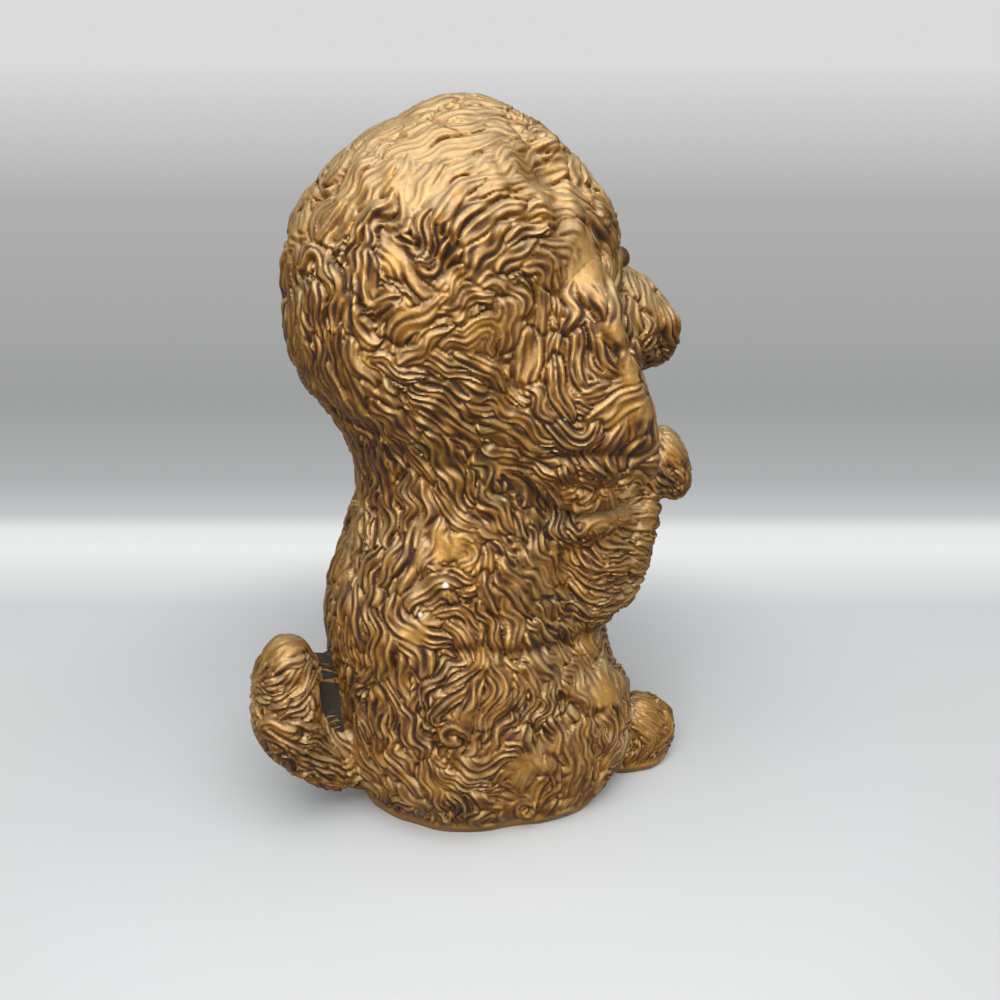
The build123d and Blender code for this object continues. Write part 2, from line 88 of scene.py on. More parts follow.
# How the hair runs, as strokes read off the photograph, from root to tip in its pixels. The left side
# mirrors them.
HAIR_STROKES = {
    "crown": [
        [(300, 262), (312, 222), (345, 182)], [(318, 232), (352, 196), (392, 162)],
        [(340, 200), (372, 160), (410, 132)], [(372, 148), (404, 124), (446, 110)],
        [(410, 118), (450, 104), (496, 104)], [(436, 128), (480, 116), (520, 126)],
        [(404, 150), (440, 138), (486, 134)], [(470, 150), (505, 140), (535, 140)],
    ],
    "skull": [
        [(330, 246), (342, 222), (352, 214)], [(362, 262), (360, 236), (366, 206)],
        [(404, 206), (406, 186), (416, 166)], [(418, 238), (424, 206), (448, 182), (476, 164)],
        [(430, 246), (436, 214), (462, 188), (500, 178)], [(456, 178), (486, 160), (512, 146)],
        [(444, 252), (452, 226), (476, 204), (512, 194), (540, 196)],
        [(462, 262), (474, 236), (498, 222), (536, 212)], [(500, 284), (512, 256), (538, 238)],
        [(484, 270), (498, 246), (520, 228), (548, 226)], [(372, 216), (384, 236), (396, 252)],
    ],
    "brow": [
        [(536, 152), (552, 146), (568, 156)], [(540, 206), (562, 200), (588, 218)],
        [(556, 184), (574, 196), (592, 214)], [(556, 222), (580, 222), (590, 232)],
        [(566, 134), (582, 160), (590, 190)], [(596, 202), (612, 214), (620, 240)],
    ],
    "muzzle": [
        [(604, 246), (612, 268), (608, 290)], [(626, 266), (632, 296), (636, 330)],
        [(642, 270), (650, 300), (652, 332)], [(622, 300), (624, 330), (632, 360)],
        [(656, 292), (664, 318), (660, 344)], [(604, 212), (622, 232), (634, 262)],
    ],
    "behind the ear": [
        [(428, 330), (446, 316), (470, 312), (484, 298)], [(436, 346), (456, 328), (482, 320)],
        [(400, 340), (412, 322), (424, 316)], [(384, 350), (392, 326), (402, 308)],
        [(366, 372), (374, 342), (386, 316)], [(402, 262), (410, 280), (424, 296)],
    ],
    "ear": [
        [(500, 290), (506, 316), (496, 340)], [(520, 276), (532, 300), (530, 330)],
        [(536, 282), (546, 306), (540, 336)], [(556, 292), (560, 312), (548, 344)],
        [(520, 330), (512, 360), (506, 380)], [(536, 340), (530, 366), (540, 396)],
        [(560, 330), (552, 356), (556, 384)], [(580, 330), (590, 350), (590, 372)],
        [(466, 372), (486, 384), (512, 392), (536, 404)], [(458, 392), (480, 404), (500, 404)],
        [(470, 420), (496, 430), (520, 446), (546, 456)], [(476, 448), (500, 462), (536, 470)],
        [(550, 400), (556, 424), (574, 438)], [(590, 400), (610, 392), (628, 380)],
        [(584, 420), (606, 412), (632, 404)], [(596, 452), (604, 430), (614, 414)],
        [(618, 452), (628, 430), (636, 412)], [(640, 450), (646, 430), (644, 404)],
    ],
    "nape": [
        [(290, 262), (292, 296), (300, 330)], [(312, 262), (318, 296), (318, 330)],
        [(340, 280), (346, 306), (340, 336)], [(300, 330), (308, 362), (326, 392)],
        [(322, 336), (328, 366), (342, 398)], [(344, 340), (346, 370), (360, 400)],
        [(362, 330), (376, 360), (384, 394)], [(326, 396), (344, 424), (358, 456)],
        [(350, 400), (372, 430), (392, 460)], [(372, 396), (398, 420), (424, 446)],
        [(400, 404), (430, 414), (462, 440)], [(420, 396), (452, 404), (484, 424)],
        [(360, 450), (366, 484), (360, 512)], [(384, 456), (392, 486), (398, 512)],
        [(404, 452), (424, 474), (436, 500)], [(432, 446), (448, 470), (452, 500)],
    ],
    "shoulder": [
        [(486, 470), (488, 500), (504, 524)], [(508, 476), (512, 504), (530, 530)],
        [(536, 500), (540, 524), (544, 548)], [(460, 506), (486, 514), (516, 540)],
        [(456, 520), (480, 532), (504, 556), (540, 564)], [(548, 530), (552, 552), (566, 572)],
        [(560, 540), (566, 560), (580, 578)], [(570, 556), (590, 574), (612, 566)],
        [(540, 572), (556, 586), (566, 598)], [(566, 584), (580, 596), (604, 598)],
        [(576, 606), (600, 612), (620, 606)],
    ],
    "back": [
        [(362, 512), (370, 530), (368, 548)], [(386, 528), (388, 548), (376, 566)],
        [(400, 530), (398, 556), (380, 582)], [(420, 542), (416, 568), (398, 592)],
        [(352, 546), (346, 570), (340, 592)], [(430, 506), (432, 520), (418, 534)],
        [(350, 600), (356, 628), (352, 656)], [(372, 590), (372, 620), (372, 650)],
        [(392, 592), (390, 616), (398, 640)], [(336, 610), (336, 640), (344, 666)],
    ],
    "flank": [
        [(500, 560), (510, 580), (534, 600)], [(504, 590), (518, 600), (532, 614)],
        [(486, 606), (498, 620), (500, 646)], [(500, 600), (514, 622), (514, 650)],
        [(524, 600), (536, 616), (560, 624)], [(540, 616), (556, 636), (566, 648)],
        [(446, 632), (460, 642), (468, 660)], [(466, 624), (480, 640), (480, 656)],
        [(400, 640), (430, 646), (460, 640)], [(556, 580), (562, 600), (580, 616)],
    ],
    "haunch": [
        [(480, 662), (478, 684), (472, 708)], [(486, 664), (500, 688), (500, 704)],
        [(500, 664), (522, 684), (530, 700)], [(520, 662), (544, 684), (552, 704)],
        [(545, 660), (566, 684), (574, 712)], [(560, 658), (584, 676), (594, 700)],
        [(526, 696), (510, 716), (496, 740)], [(512, 694), (490, 716), (478, 736)],
        [(546, 704), (534, 712), (520, 732)], [(430, 664), (420, 690), (424, 712)],
        [(474, 664), (460, 672), (440, 676)], [(470, 684), (452, 692), (430, 700)],
        [(404, 662), (404, 690), (412, 712)], [(384, 690), (396, 706), (394, 732)],
        [(372, 712), (372, 738), (380, 756)], [(412, 716), (420, 738), (432, 756)],
        [(350, 720), (356, 748), (372, 772)], [(380, 760), (396, 778), (412, 792)],
        [(420, 762), (428, 782), (434, 802)], [(340, 680), (342, 706), (348, 728)],
        [(450, 770), (478, 780), (504, 776)], [(470, 792), (500, 800), (530, 800)],
        [(550, 730), (556, 752), (562, 772)], [(566, 724), (576, 748), (572, 776)],
        [(560, 780), (548, 800), (540, 812)], [(580, 760), (576, 786), (564, 806)],
        [(600, 746), (592, 776), (580, 796)], [(624, 740), (610, 762), (596, 780)],
        [(590, 700), (600, 716), (606, 730)],
    ],
    "hind foot": [
        [(640, 690), (660, 696), (672, 716)], [(636, 712), (650, 722), (664, 728)],
    ],
    "tail": [
        [(262, 660), (276, 644), (300, 640)], [(262, 690), (284, 684), (304, 672)],
        [(266, 716), (290, 718), (308, 704)], [(280, 736), (300, 746), (320, 748)],
        [(300, 756), (320, 770), (344, 780)],
    ],
    "foreleg": [
        [(652, 430), (668, 428), (684, 440)], [(650, 450), (668, 452), (680, 462)],
        [(636, 486), (648, 482), (660, 486)], [(636, 500), (648, 500), (656, 504)],
        [(636, 520), (648, 522), (660, 516)], [(620, 546), (636, 544), (650, 552)],
        [(612, 566), (630, 562), (644, 568)], [(610, 586), (624, 580), (636, 586)],
    ],
}

# Curls that the hair winds round: the pixel of the middle, the radius in mm and the way of turning.
CURLS = [
    (345, 240, 7, 1), (410, 388, 8, -1), (424, 612, 9, 1), (363, 706, 9, 1), (590, 556, 8, -1),
    (594, 492, 9, 1), (456, 734, 11, -1), (510, 776, 13, -1), (590, 742, 9, 1), (420, 292, 6, 1),
    (468, 288, 6, -1), (470, 350, 7, 1), (462, 558, 15, -1), (285, 690, 9, 1),
]

# Rounded lumps and hollows: the pixel of the middle, the radius in mm and the rise in mm.
LUMPS = [
    (552, 146, 6, 3.4), (550, 168, 10, -8.0), (540, 202, 6, 2.4), (562, 214, 6, -2.4),
    (584, 272, 12, 1.8), (565, 350, 9, -2.4),
    (475, 575, 12, 1.4), (545, 545, 11, 0.9), (392, 566, 10, 0.9), (560, 690, 12, 1.8),
    (455, 700, 9, 2.0), (505, 706, 9, 1.0), (285, 650, 9, 1.4), (268, 690, 8, 1.0),
    (304, 688, 7, 1.0), (640, 268, 8, 1.2), (668, 322, 5, 1.4), (600, 222, 8, 1.4),
    (668, 440, 9, 1.0), (486, 208, 9, 1.2), (420, 300, 7, 1.6), (466, 296, 7, 1.2),
    (600, 690, 9, 1.6), (352, 690, 9, 1.2), (606, 512, 9, 1.4), (520, 420, 12, 1.2),
]

# Folds and ridges: the radius in mm, the rise in mm and the pixels along it.
FOLDS = [
    (4.5, 3.0, [(598, 296), (612, 330), (628, 372), (640, 410), (648, 440)]),
    (4.0, -3.6, [(536, 468), (570, 462), (600, 458), (636, 462)]),
    (8.0, -3.2, [(540, 494), (590, 496), (640, 488)]),
    (3.5, -2.4, [(440, 656), (480, 652), (510, 657), (545, 650), (584, 641)]),
    (2.5, -1.6, [(262, 712), (290, 722), (316, 700)]),
    (3.0, -1.6, [(404, 250), (420, 246), (446, 262), (470, 300)]),
    (3.0, -1.8, [(588, 226), (604, 244), (606, 290)]),
    (2.5, -1.4, [(560, 700), (590, 712), (610, 732)]),
    (2.5, -1.3, [(440, 470), (486, 470), (530, 474)]),
    (3.0, 1.2, [(540, 204), (552, 226), (528, 250)]),
]

# Places that the painter or the mould left smooth: pixel, radius in mm and how smooth.
SMOOTH_SPOTS = [
    (584, 272, 13, 0.9), (614, 330, 5, 0.9), (630, 372, 6, 0.9), (642, 410, 5, 0.8),
    (604, 520, 12, 0.6), (624, 508, 9, 0.7), (447, 546, 8, 0.9), (416, 634, 7, 0.9),
    (526, 770, 11, 0.8), (602, 694, 8, 0.9), (462, 716, 5, 0.6), (440, 790, 6, 0.5),
    (650, 712, 13, 0.6), (284, 652, 12, 0.6), (668, 445, 11, 0.45), (648, 520, 12, 0.35),
    (395, 262, 5, 0.6), (543, 198, 4, 0.7),
]

# Chips down to the chalk: pixel and radius in mm.
CHIPS = [(445, 585, 1.4), (420, 615, 1.1), (420, 457, 0.8), (566, 420, 0.6)]

# The dark hollow under the brow, in pixels of the photograph. In mm, the eyes' distance from the
# middle plane and their height, the depth, radius and width of the groove round an eye, and the
# height and radius of the eyeball.
HOLLOW_SPOT = (549, 169)
EYE = (19, 244)
LID = (2.4, 6.5, 2.2)
EYEBALL = (3.0, 4.6)

# The nose's half sizes, each nostril's place from the nose's middle on the left side, and the lips'
# line from the muzzle's tip on the left side, in mm.
NOSE = (8.5, 7.5, 5.5)
NOSTRIL = (3.6, -6.0, -1.0)
LIPS = [(0, -1, 2), (0.5, 0, -5), (6, 2, -9), (13, 10, -11), (18, 22, -9)]

# Where the grooves between the toes lie, from the middle of a hind foot and of a forepaw, in mm.
HIND_TOES = (-5.5, 0, 5.5)
FORE_TOES = (-3.8, 3.8)

# How large the locks are on a piece beside those of the body.
SMALL_LOCKS = {
    "right_hind_foot": 0.55, "left_hind_foot": 0.55, "right_foreleg": 0.6, "left_foreleg": 0.6,
    "tail": 0.75,
}

# Locks smaller than SMALL beside those of the body also lie closer together, by CLOSER.
SMALL = 0.8
CLOSER = 0.6

# Ranges that each lock draws from: its length, its width and its groove spacing beside the usual ones,
# the length and the sway of its waves in mm, the depth of its grooves and how far it stands up.
LENGTHS, WIDTHS, SPACINGS = (0.7, 1.2), (0.7, 1.25), (0.75, 1.4)
WAVES, SWAYS, DEPTHS, LIFTS = (13, 24), (0.4, 2.0), (0.7, 1.0), (0.35, 1.0)

# How many vertices the locks' middles are drawn from, the step along a lock, how far from its surface
# it still shapes the skin, and the size of the cubes in which vertices are looked up.
SAMPLE = 60000
LOCK_STEP = 1.5 * MM
LOCK_REACH = 5 * MM
CUBE = 8 * MM

# Where no stroke tells the way, the hair winds round places this far apart, with radii in mm.
WINDING_SPACING = 21 * MM
WINDING_RADII = (7, 12)
CURL_PULL = 2.2
UNTOLD = 0.05

# Levels of a strand and of a lock that leave the skin where it is.
STRAND_LEVEL = 0.7
LOCK_LEVEL = 1.1

# How much of the coat is left on the parting plane, and how far from it the coat fades in and is full.
SEAM_COAT = 0.35
SEAM_REACH = (0.4 * MM, 3 * MM)

# The depth of a chip, and how far below the coat's general level a hollow takes its darkest painted shade.
# The general level is found by this many steps of smoothing.
CHIP_DEPTH = 0.5 * MM
HOLLOW_DEPTH = 2.0 * MM
HOLLOW_STEPS = 40

# Margins round a piece's box within which the locks are the piece's own, and the skin may be.
NEARBY = 2 * MM
OWN_SKIN = 3 * MM

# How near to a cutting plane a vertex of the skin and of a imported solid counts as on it.
ON_PLANE = 0.03 * MM
ON_FACE = 0.02 * MM
ON_BORE = 0.06 * MM

# Islands with fewer faces are specks that the parting left, and edges that turn further are sharp.
SPECK = 80
SHARP = math.radians(68)

# How many rings close a casting where it is stuck on, how often small gaps are looked for, how often
# and how far the neck is cut lower until the cut closes, and the seed of the coat's random draws.
CAP_RINGS = 6
MEND_ROUNDS = 3
NECK_TRIES = 8
NECK_STEP = 0.3 * MM
COAT_SEED = 5

# The painted light and shade of the paper as the camera sees it, by how steeply it looks down at it, and
# how far from the middle the floor turns from paper that takes shadows to paper with painted light, in m.
PAPER_PAINTED_LIGHT = {
    0.0: "#DADADB", 0.03: "#CECECF", 0.11: "#AEAFAE", 0.28: "#9E9F9F", 0.36: "#ADAFB0",
    0.395: "#C5C7C8", 0.41: "#E6E8E8", 0.43: "#EBEDEC", 0.49: "#CFD2D3", 0.62: "#D5D7D7",
    0.75: "#DADBDB", 1.0: "#DFE0DF",
}
PAPER_FADE = (0.17, 0.30)

# The floor's half size and the height that the lamps are aimed at, and each lamp's place and size, in
# m, with its share of the lamp power.
FLOOR_SIZE = 60
AIM_HEIGHT = 0.15
LAMPS = {"top_light": ((-0.38, 0.12, 1.05), 1.1, 1.05), "side_light": ((-0.85, 0.40, 0.60), 0.9, 0.75)}


def length_setting(name, description, size):
    """A length property, in metres."""
    return FloatProperty(name=name, description=description, default=size, unit="LENGTH", precision=5)


class SkinSettings(bpy.types.PropertyGroup):
    """Sizes of the cast surface before the coat is carved."""

    fairing: length_setting("Fairing grain", "Face size at which the joints are faired over", 1.6 * MM)
    fairing_steps: IntProperty(
        name="Fairing steps", description="How often the joints are smoothed", default=36)
    grain: length_setting("Skin grain", "Face size of the finished skin", 0.68 * MM)
    sink: length_setting("Sink", "How far the skin goes below the ground before it is cut", 4 * MM)
    seat: length_setting("Seat", "How deep the stuck-on castings are keyed into the shells", 1.2 * MM)
    neck_level: length_setting(
        "Neck level", "Height at which each half is kept as two pieces", 157.35 * MM)


class CoatSettings(bpy.types.PropertyGroup):
    """Sizes of the curls."""

    lock_spacing: length_setting(
        "Lock spacing", "Least distance between the middles of two locks", 8.6 * MM)
    lock_length: length_setting("Lock length", "Length of one lock of hair", 38 * MM)
    lock_width: length_setting("Lock width", "Width of one lock of hair", 13 * MM)
    groove_spacing: length_setting("Groove spacing", "Distance from one groove to the next", 3.1 * MM)
    groove_depth: length_setting("Groove depth", "Depth of the grooves between two strands", 2.1 * MM)
    crevice_depth: length_setting("Crevice depth", "Depth of the clefts between two locks", 1.9 * MM)
    lock_lift: length_setting("Lock lift", "How far a lock stands above its edges", 1.4 * MM)
    stroke_reach: length_setting("Stroke reach", "How far one stroke turns the hair round it", 7 * MM)


def srgb(code):
    """A hex colour as three sRGB values."""
    return tuple(int(code[i:i + 2], 16) / 255 for i in (1, 3, 5))


def colour_setting(name, description, code):
    """A colour property that starts at a hex colour."""
    return FloatVectorProperty(
        name=name, description=description, subtype="COLOR_GAMMA", size=3, min=0, max=1,
        default=srgb(code))


class PaintSettings(bpy.types.PropertyGroup):
    """Colours of the paint and of what shows through it, in sRGB."""

    amber: colour_setting("Amber bronze", "Bronze paint where it is thick and dark", "#6E3F07")
    gold: colour_setting("Old gold", "Bronze paint where it is brushed thin", "#9E6B18")
    # Khaki is dust and also painted light, on what faces up and lies higher.
    khaki_dust_and_painted_light: colour_setting("Khaki", "Dulled paint where the coat faces up", "#A48C64")
    ochre: colour_setting("Ochre", "Bare bronze on the smooth places", "#9C6B1C")
    # The primer shows in the grooves, and in the deeper hollows it is also painted shade.
    primer: colour_setting("Maroon primer", "Dark red brown in the grooves", "#261003")
    # Mauve is the primer with painted light, where the grooves face up.
    mauve_painted_light: colour_setting("Mauve", "Dusty primer in the grooves that face up", "#472A14")
    # Umber is painted shade on what faces down.
    umber_painted_shade: colour_setting("Umber", "Dark old paint on what faces down", "#3E2205")
    # Rubbed gold is wear on the crests and also a painted highlight.
    rubbed_highlight: colour_setting("Rubbed gold", "Bronze rubbed bright on the crests", "#CDA35C")
    # Nose brown is also painted shade in the hollow under each brow.
    nose: colour_setting("Nose brown", "Dark paint of the eyes, the nose and the lips", "#3A1D15")
    rust: colour_setting("Worn primer", "Reddish primer on worn tips", "#8E4A38")
    plaster: colour_setting("Plaster", "Bare plaster", "#DEDACF")
    grime: colour_setting("Grime", "Dust on bare plaster", "#8F897C")
    cloud: length_setting("Cloud", "Size of the dusty clouds", 26 * MM)
    blotch: length_setting("Blotch", "Size of the brush blotches", 7 * MM)
    spot: length_setting("Spot", "Size of the rubbed spots", 4.5 * MM)
    dent: length_setting("Dent", "Size of the dents", 2.2 * MM)
    fleck: length_setting("Fleck", "Size of the flecks", 1.3 * MM)
    grain: length_setting("Grain", "Size of the plaster's grain", 0.5 * MM)
    # The slip plaster's dark shades are painted shade in the gap behind the tail.
    slip: colour_setting("Slip plaster", "Dirty slip plaster behind the tail", "#2A241B")
    slip_dark: colour_setting("Dark slip plaster", "Its darker patches", "#1A150F")
    iron: colour_setting("Iron", "Bare iron wire", "#4A4643")
    film: colour_setting("Rust film", "Thin rust on the wire", "#6B4A36")
    grime_patch: length_setting("Grime patch", "Size of the grimy patches", 6.25 * MM)
    slip_patch: length_setting("Slip patch", "Size of the slip plaster's patches", 7.14286 * MM)
    rust_patch: length_setting("Rust patch", "Size of the rusty patches", 2.5 * MM)
    pit: length_setting("Pit", "Distance between the pits of bare plaster", 1.42857 * MM)


class StageSettings(bpy.types.PropertyGroup):
    """The camera, the floor and the light."""

    lens: FloatProperty(name="Lens", description="Focal length on a 36 mm sensor", default=41.4)
    camera: FloatVectorProperty(
        name="Camera", description="The camera's place", subtype="TRANSLATION", size=3,
        default=(-0.430, 0.1815, 0.318))
    azimuth: FloatProperty(name="Azimuth", description="View direction", default=245.3)
    elevation: FloatProperty(name="Elevation", description="View direction", default=20.8)
    lamp_power: FloatProperty(name="Lamp power", description="Watts of the top light", default=14)
    surroundings: FloatProperty(
        name="Surroundings", description="Strength of the light from all round", default=0.20)


def new_object(name, mesh):
    """An object at the origin that shows the mesh."""
    made = bpy.data.objects.new(name, mesh)
    bpy.context.scene.collection.objects.link(made)
    return made


def object_from(name, bm):
    """An object at the origin that takes over the bmesh."""
    mesh = bpy.data.meshes.new(name)
    bm.to_mesh(mesh)
    bm.free()
    return new_object(name, mesh)


def join(target, source):
    """Adds one bmesh to another."""
    mesh = bpy.data.meshes.new("moved")
    source.to_mesh(mesh)
    source.free()
    target.from_mesh(mesh)
    bpy.data.meshes.remove(mesh)


def node_solid(name):
    """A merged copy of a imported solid."""
    bm = bmesh.new()
    bm.from_mesh(frame["nodes"][name].data)
    bmesh.ops.remove_doubles(bm, verts=bm.verts, dist=1e-6)
    return bm


def sunk(bm):
    """The bmesh with what stands on the ground drawn down below it, so that it can be cut there."""
    depth = bpy.context.scene.chalkware_skin.sink
    for vert in bm.verts:
        if vert.co.z < ON_PLANE:
            vert.co.z = -depth
    return bm


def islands(bm):
    """The bmesh's faces in connected groups, the smallest first."""
    left = dict.fromkeys(bm.faces)
    groups = []
    while left:
        queue = [left.popitem()[0]]
        group = []
        while queue:
            face = queue.pop()
            group.append(face)
            for edge in face.edges:
                for other in edge.link_faces:
                    if other in left:
                        del left[other]
                        queue.append(other)
        groups.append(group)
    return sorted(groups, key=len)


def open_edges(bm):
    """Edges with one face."""
    return [edge for edge in bm.edges if len(edge.link_faces) == 1]


def shell_faces(name, inner):
    """A half shell's outer faces, or those of its hollow, without its parting face and base."""
    bm = node_solid(name)
    wires = bmesh.new()
    for wire in WIRES:
        join(wires, node_solid(wire))
    bores = BVHTree.FromBMesh(wires)
    wires.free()
    gone = []
    for face in bm.faces:
        centre = face.calc_center_median()
        flat = abs(centre.x) < ON_FACE and abs(face.normal.x) > 0.9
        ground = centre.z < ON_FACE and abs(face.normal.z) > 0.9
        if flat or ground or bores.find_nearest(centre, ON_BORE)[0]:
            gone.append(face)
    bmesh.ops.delete(bm, geom=gone, context="FACES")
    groups = islands(bm)[-2:]
    groups.sort(key=lambda group: max(face.calc_center_median().z for face in group))
    kept = set(groups[0] if inner else groups[1])
    bmesh.ops.delete(bm, geom=[face for face in bm.faces if face not in kept], context="FACES")
    return bm


def whole_outside():
    """The outside of the whole figure as one closed bmesh, with the stuck-on castings overlapping."""
    whole = shell_faces("right_shell", False)
    join(whole, shell_faces("left_shell", False))
    bmesh.ops.remove_doubles(whole, verts=whole.verts, dist=ON_FACE)
    bmesh.ops.holes_fill(whole, edges=open_edges(whole), sides=0)
    bmesh.ops.triangulate(whole, faces=[face for face in whole.faces if len(face.verts) > 3])
    for name in STUCK_ON:
        join(whole, node_solid(name))
    return sunk(whole)


@functools.lru_cache
def outer_backing():
    """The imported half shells' outer surface, which the stuck-on pieces sit on."""
    bm = shell_faces("right_shell", False)
    join(bm, shell_faces("left_shell", False))
    tree = BVHTree.FromBMesh(sunk(bm))
    bm.free()
    return tree


def remeshed(obj, size, name):
    """A new object that covers the outside of another with even faces."""
    step = obj.modifiers.new("even faces", "REMESH")
    step.mode = "VOXEL"
    step.voxel_size = size
    step.adaptivity = 0
    graph = bpy.context.evaluated_depsgraph_get()
    mesh = bpy.data.meshes.new_from_object(obj.evaluated_get(graph))
    mesh.name = name
    old = obj.data
    bpy.data.objects.remove(obj)
    bpy.data.meshes.remove(old)
    return new_object(name, mesh)


def places(mesh):
    """The mesh's vertices as an array."""
    found = np.empty(len(mesh.vertices) * 3, np.float32)
    mesh.vertices.foreach_get("co", found)
    return found.reshape(-1, 3).astype(float)


def set_places(mesh, found):
    """Moves the mesh's vertices."""
    mesh.vertices.foreach_set("co", found.astype(np.float32).ravel())
    mesh.update()


def normals(mesh):
    """The mesh's vertex normals as an array."""
    found = np.empty(len(mesh.vertices) * 3, np.float32)
    mesh.vertex_normals.foreach_get("vector", found)
    return found.reshape(-1, 3).astype(float)


class Smoother:
    """Averages values over neighbouring vertices."""

    def __init__(self, mesh):
        ends = np.empty(len(mesh.edges) * 2, np.int32)
        mesh.edges.foreach_get("vertices", ends)
        self.a, self.b = ends[0::2], ends[1::2]
        self.count = len(mesh.vertices)
        links = np.bincount(self.a, minlength=self.count)
        links = links + np.bincount(self.b, minlength=self.count)
        self.links = np.maximum(links, 1)

    def mean(self, values):
        """The mean of each vertex's neighbours."""
        if values.ndim > 1:
            return np.stack([self.mean(column) for column in values.T], 1)
        total = np.bincount(self.a, values[self.b], self.count)
        total += np.bincount(self.b, values[self.a], self.count)
        return total / self.links

    def smooth(self, values, steps, share=0.5):
        """Values after some steps towards the neighbours' mean."""
        for _ in range(steps):
            values = values + share * (self.mean(values) - values)
        return values

    def fair(self, values, steps):
        """Places smoothed without shrinking."""
        for _ in range(steps):
            values = values + 0.60 * (self.mean(values) - values)
            values = values - 0.62 * (self.mean(values) - values)
        return values


def largest_island(obj):
    """Drops every part of a mesh but the one with the most faces."""
    bm = bmesh.new()
    bm.from_mesh(obj.data)
    gone = [face for group in islands(bm)[:-1] for face in group]
    bmesh.ops.delete(bm, geom=gone, context="FACES")
    bm.to_mesh(obj.data)
    bm.free()


def value_noise(points, size, seed):
    """Smooth noise between -1 and 1 whose lumps have the given size."""
    rng = np.random.default_rng(seed)
    table = rng.uniform(-1, 1, 4096)
    scaled = points / size + 100
    cell = np.floor(scaled).astype(np.int64)
    part = scaled - cell
    part = part * part * (3 - 2 * part)
    total = np.zeros(len(points))
    for corner in range(8):
        step = np.array([corner & 1, (corner >> 1) & 1, (corner >> 2) & 1])
        at = cell + step
        key = (at[:, 0] * 73856093) ^ (at[:, 1] * 19349663) ^ (at[:, 2] * 83492791)
        weight = np.prod(np.where(step == 1, part, 1 - part), 1)
        total += weight * table[key & 4095]
    return total


def unit(vectors):
    """Vectors made one long."""
    size = np.linalg.norm(vectors, axis=-1, keepdims=True)
    return vectors / np.maximum(size, 1e-9)


def ramp(values, low, high):
    """Values between two limits turned to a soft step from 0 to 1."""
    part = np.clip((values - low) / (high - low), 0, 1)
    return part * part * (3 - 2 * part)


def dome(points, centre, radius):
    """1 at the centre, falling to nothing a little beyond the radius."""
    gap = points - np.array(centre)
    return np.exp(-np.einsum("ij,ij->i", gap, gap) / (radius * radius))


def camera_axes(azimuth, elevation):
    """The camera's right, up and forward directions."""
    a, e = math.radians(azimuth), math.radians(elevation)
    back = Vector((math.sin(a) * math.cos(e), -math.cos(a) * math.cos(e), math.sin(e)))
    right = Vector((0, 0, 1)).cross(back).normalized()
    return right, back.cross(right), -back


def seen(tree, spot):
    """The place on the skin that shows at a pixel of the photograph."""
    stage = bpy.context.scene.chalkware_stage
    right, up, forward = camera_axes(stage.azimuth, stage.elevation)
    focus = stage.lens / SENSOR_WIDTH * PHOTO_WIDTH
    way = forward * focus + right * (spot[0] - PHOTO_WIDTH / 2) + up * (PHOTO_WIDTH / 2 - spot[1])
    start = Vector(stage.camera)
    hit = tree.ray_cast(start, way.normalized())[0]
    if hit is None:
        hit = tree.find_nearest(start + way.normalized() * start.length)[0]
    return hit


def both_sides(place):
    """A place on the right side, and its mirror image."""
    return [np.array(place), np.array(place) * (-1, 1, 1)]


def line_gap(points, path):
    """The distance from each point to the nearest part of a polyline."""
    least = np.full(len(points), 1e9)
    for start, end in zip(path, path[1:]):
        run = end - start
        share = np.clip((points - start) @ run / max(run @ run, 1e-12), 0, 1)
        gap = points - start - share[:, None] * run
        least = np.minimum(least, np.einsum("ij,ij->i", gap, gap))
    return np.sqrt(least)


def stroke_ways(tree):
    """Places along the strokes on both sides, and the way that the hair runs there."""
    spots, ways = [], []
    for stroke in (stroke for strokes in HAIR_STROKES.values() for stroke in strokes):
        hits = [np.array(seen(tree, spot)) for spot in stroke]
        for start, end in zip(hits, hits[1:]):
            for share in (0.2, 0.5, 0.8):
                spots.append(start + share * (end - start))
                ways.append(unit(end - start))
    mirror = np.array((-1, 1, 1))
    spots, ways = np.array(spots), np.array(ways)
    return np.concatenate([spots, spots * mirror]), np.concatenate([ways, ways * mirror])


def hair_flow(points, facing, tree, coat, rng):
    """The way that the hair runs at each place, along the surface."""
    down = np.array([0.0, 0.25, -1.0])
    along = unit(down - (facing @ down)[:, None] * facing)
    across = np.cross(facing, along)
    turn = 1.5 * value_noise(points, 30 * MM, 11) + 0.7 * value_noise(points, 15 * MM, 12)
    total = 0.12 * (along * np.cos(turn)[:, None] + across * np.sin(turn)[:, None])
    told = np.zeros(len(points))
    for spot, way in zip(*stroke_ways(tree)):
        weight = dome(points, spot, coat.stroke_reach)
        total += weight[:, None] * way
        told += weight
    winding = []
    for x, y, radius, spin in CURLS:
        place = np.array(seen(tree, (x, y)))
        winding += [(place, radius * MM, spin), (place * (-1, 1, 1), radius * MM, -spin)]
    untold = np.nonzero(told < UNTOLD)[0]
    for count, index in enumerate(untold[scatter(points[untold], WINDING_SPACING, rng)]):
        winding.append((points[index], rng.uniform(*WINDING_RADII) * MM, 1 if count % 2 else -1))
    for centre, radius, spin in winding:
        weight = CURL_PULL * dome(points, centre, radius)
        total += (weight * spin)[:, None] * unit(np.cross(facing, points - centre))
    total -= np.einsum("ij,ij->i", total, facing)[:, None] * facing
    return unit(total)


def scatter(points, spacing, rng):
    """Numbers of points that keep the spacing from each other."""
    kept = []
    cells = {}
    for index in rng.permutation(len(points)):
        place = points[index]
        cell = tuple((place // spacing).astype(int))
        near = False
        for dx in (-1, 0, 1):
            for dy in (-1, 0, 1):
                for dz in (-1, 0, 1):
                    for other in cells.get((cell[0] + dx, cell[1] + dy, cell[2] + dz), ()):
                        if np.dot(points[other] - place, points[other] - place) < spacing ** 2:
                            near = True
                            break
        if not near:
            kept.append(index)
            cells.setdefault(cell, []).append(index)
    return np.array(kept)


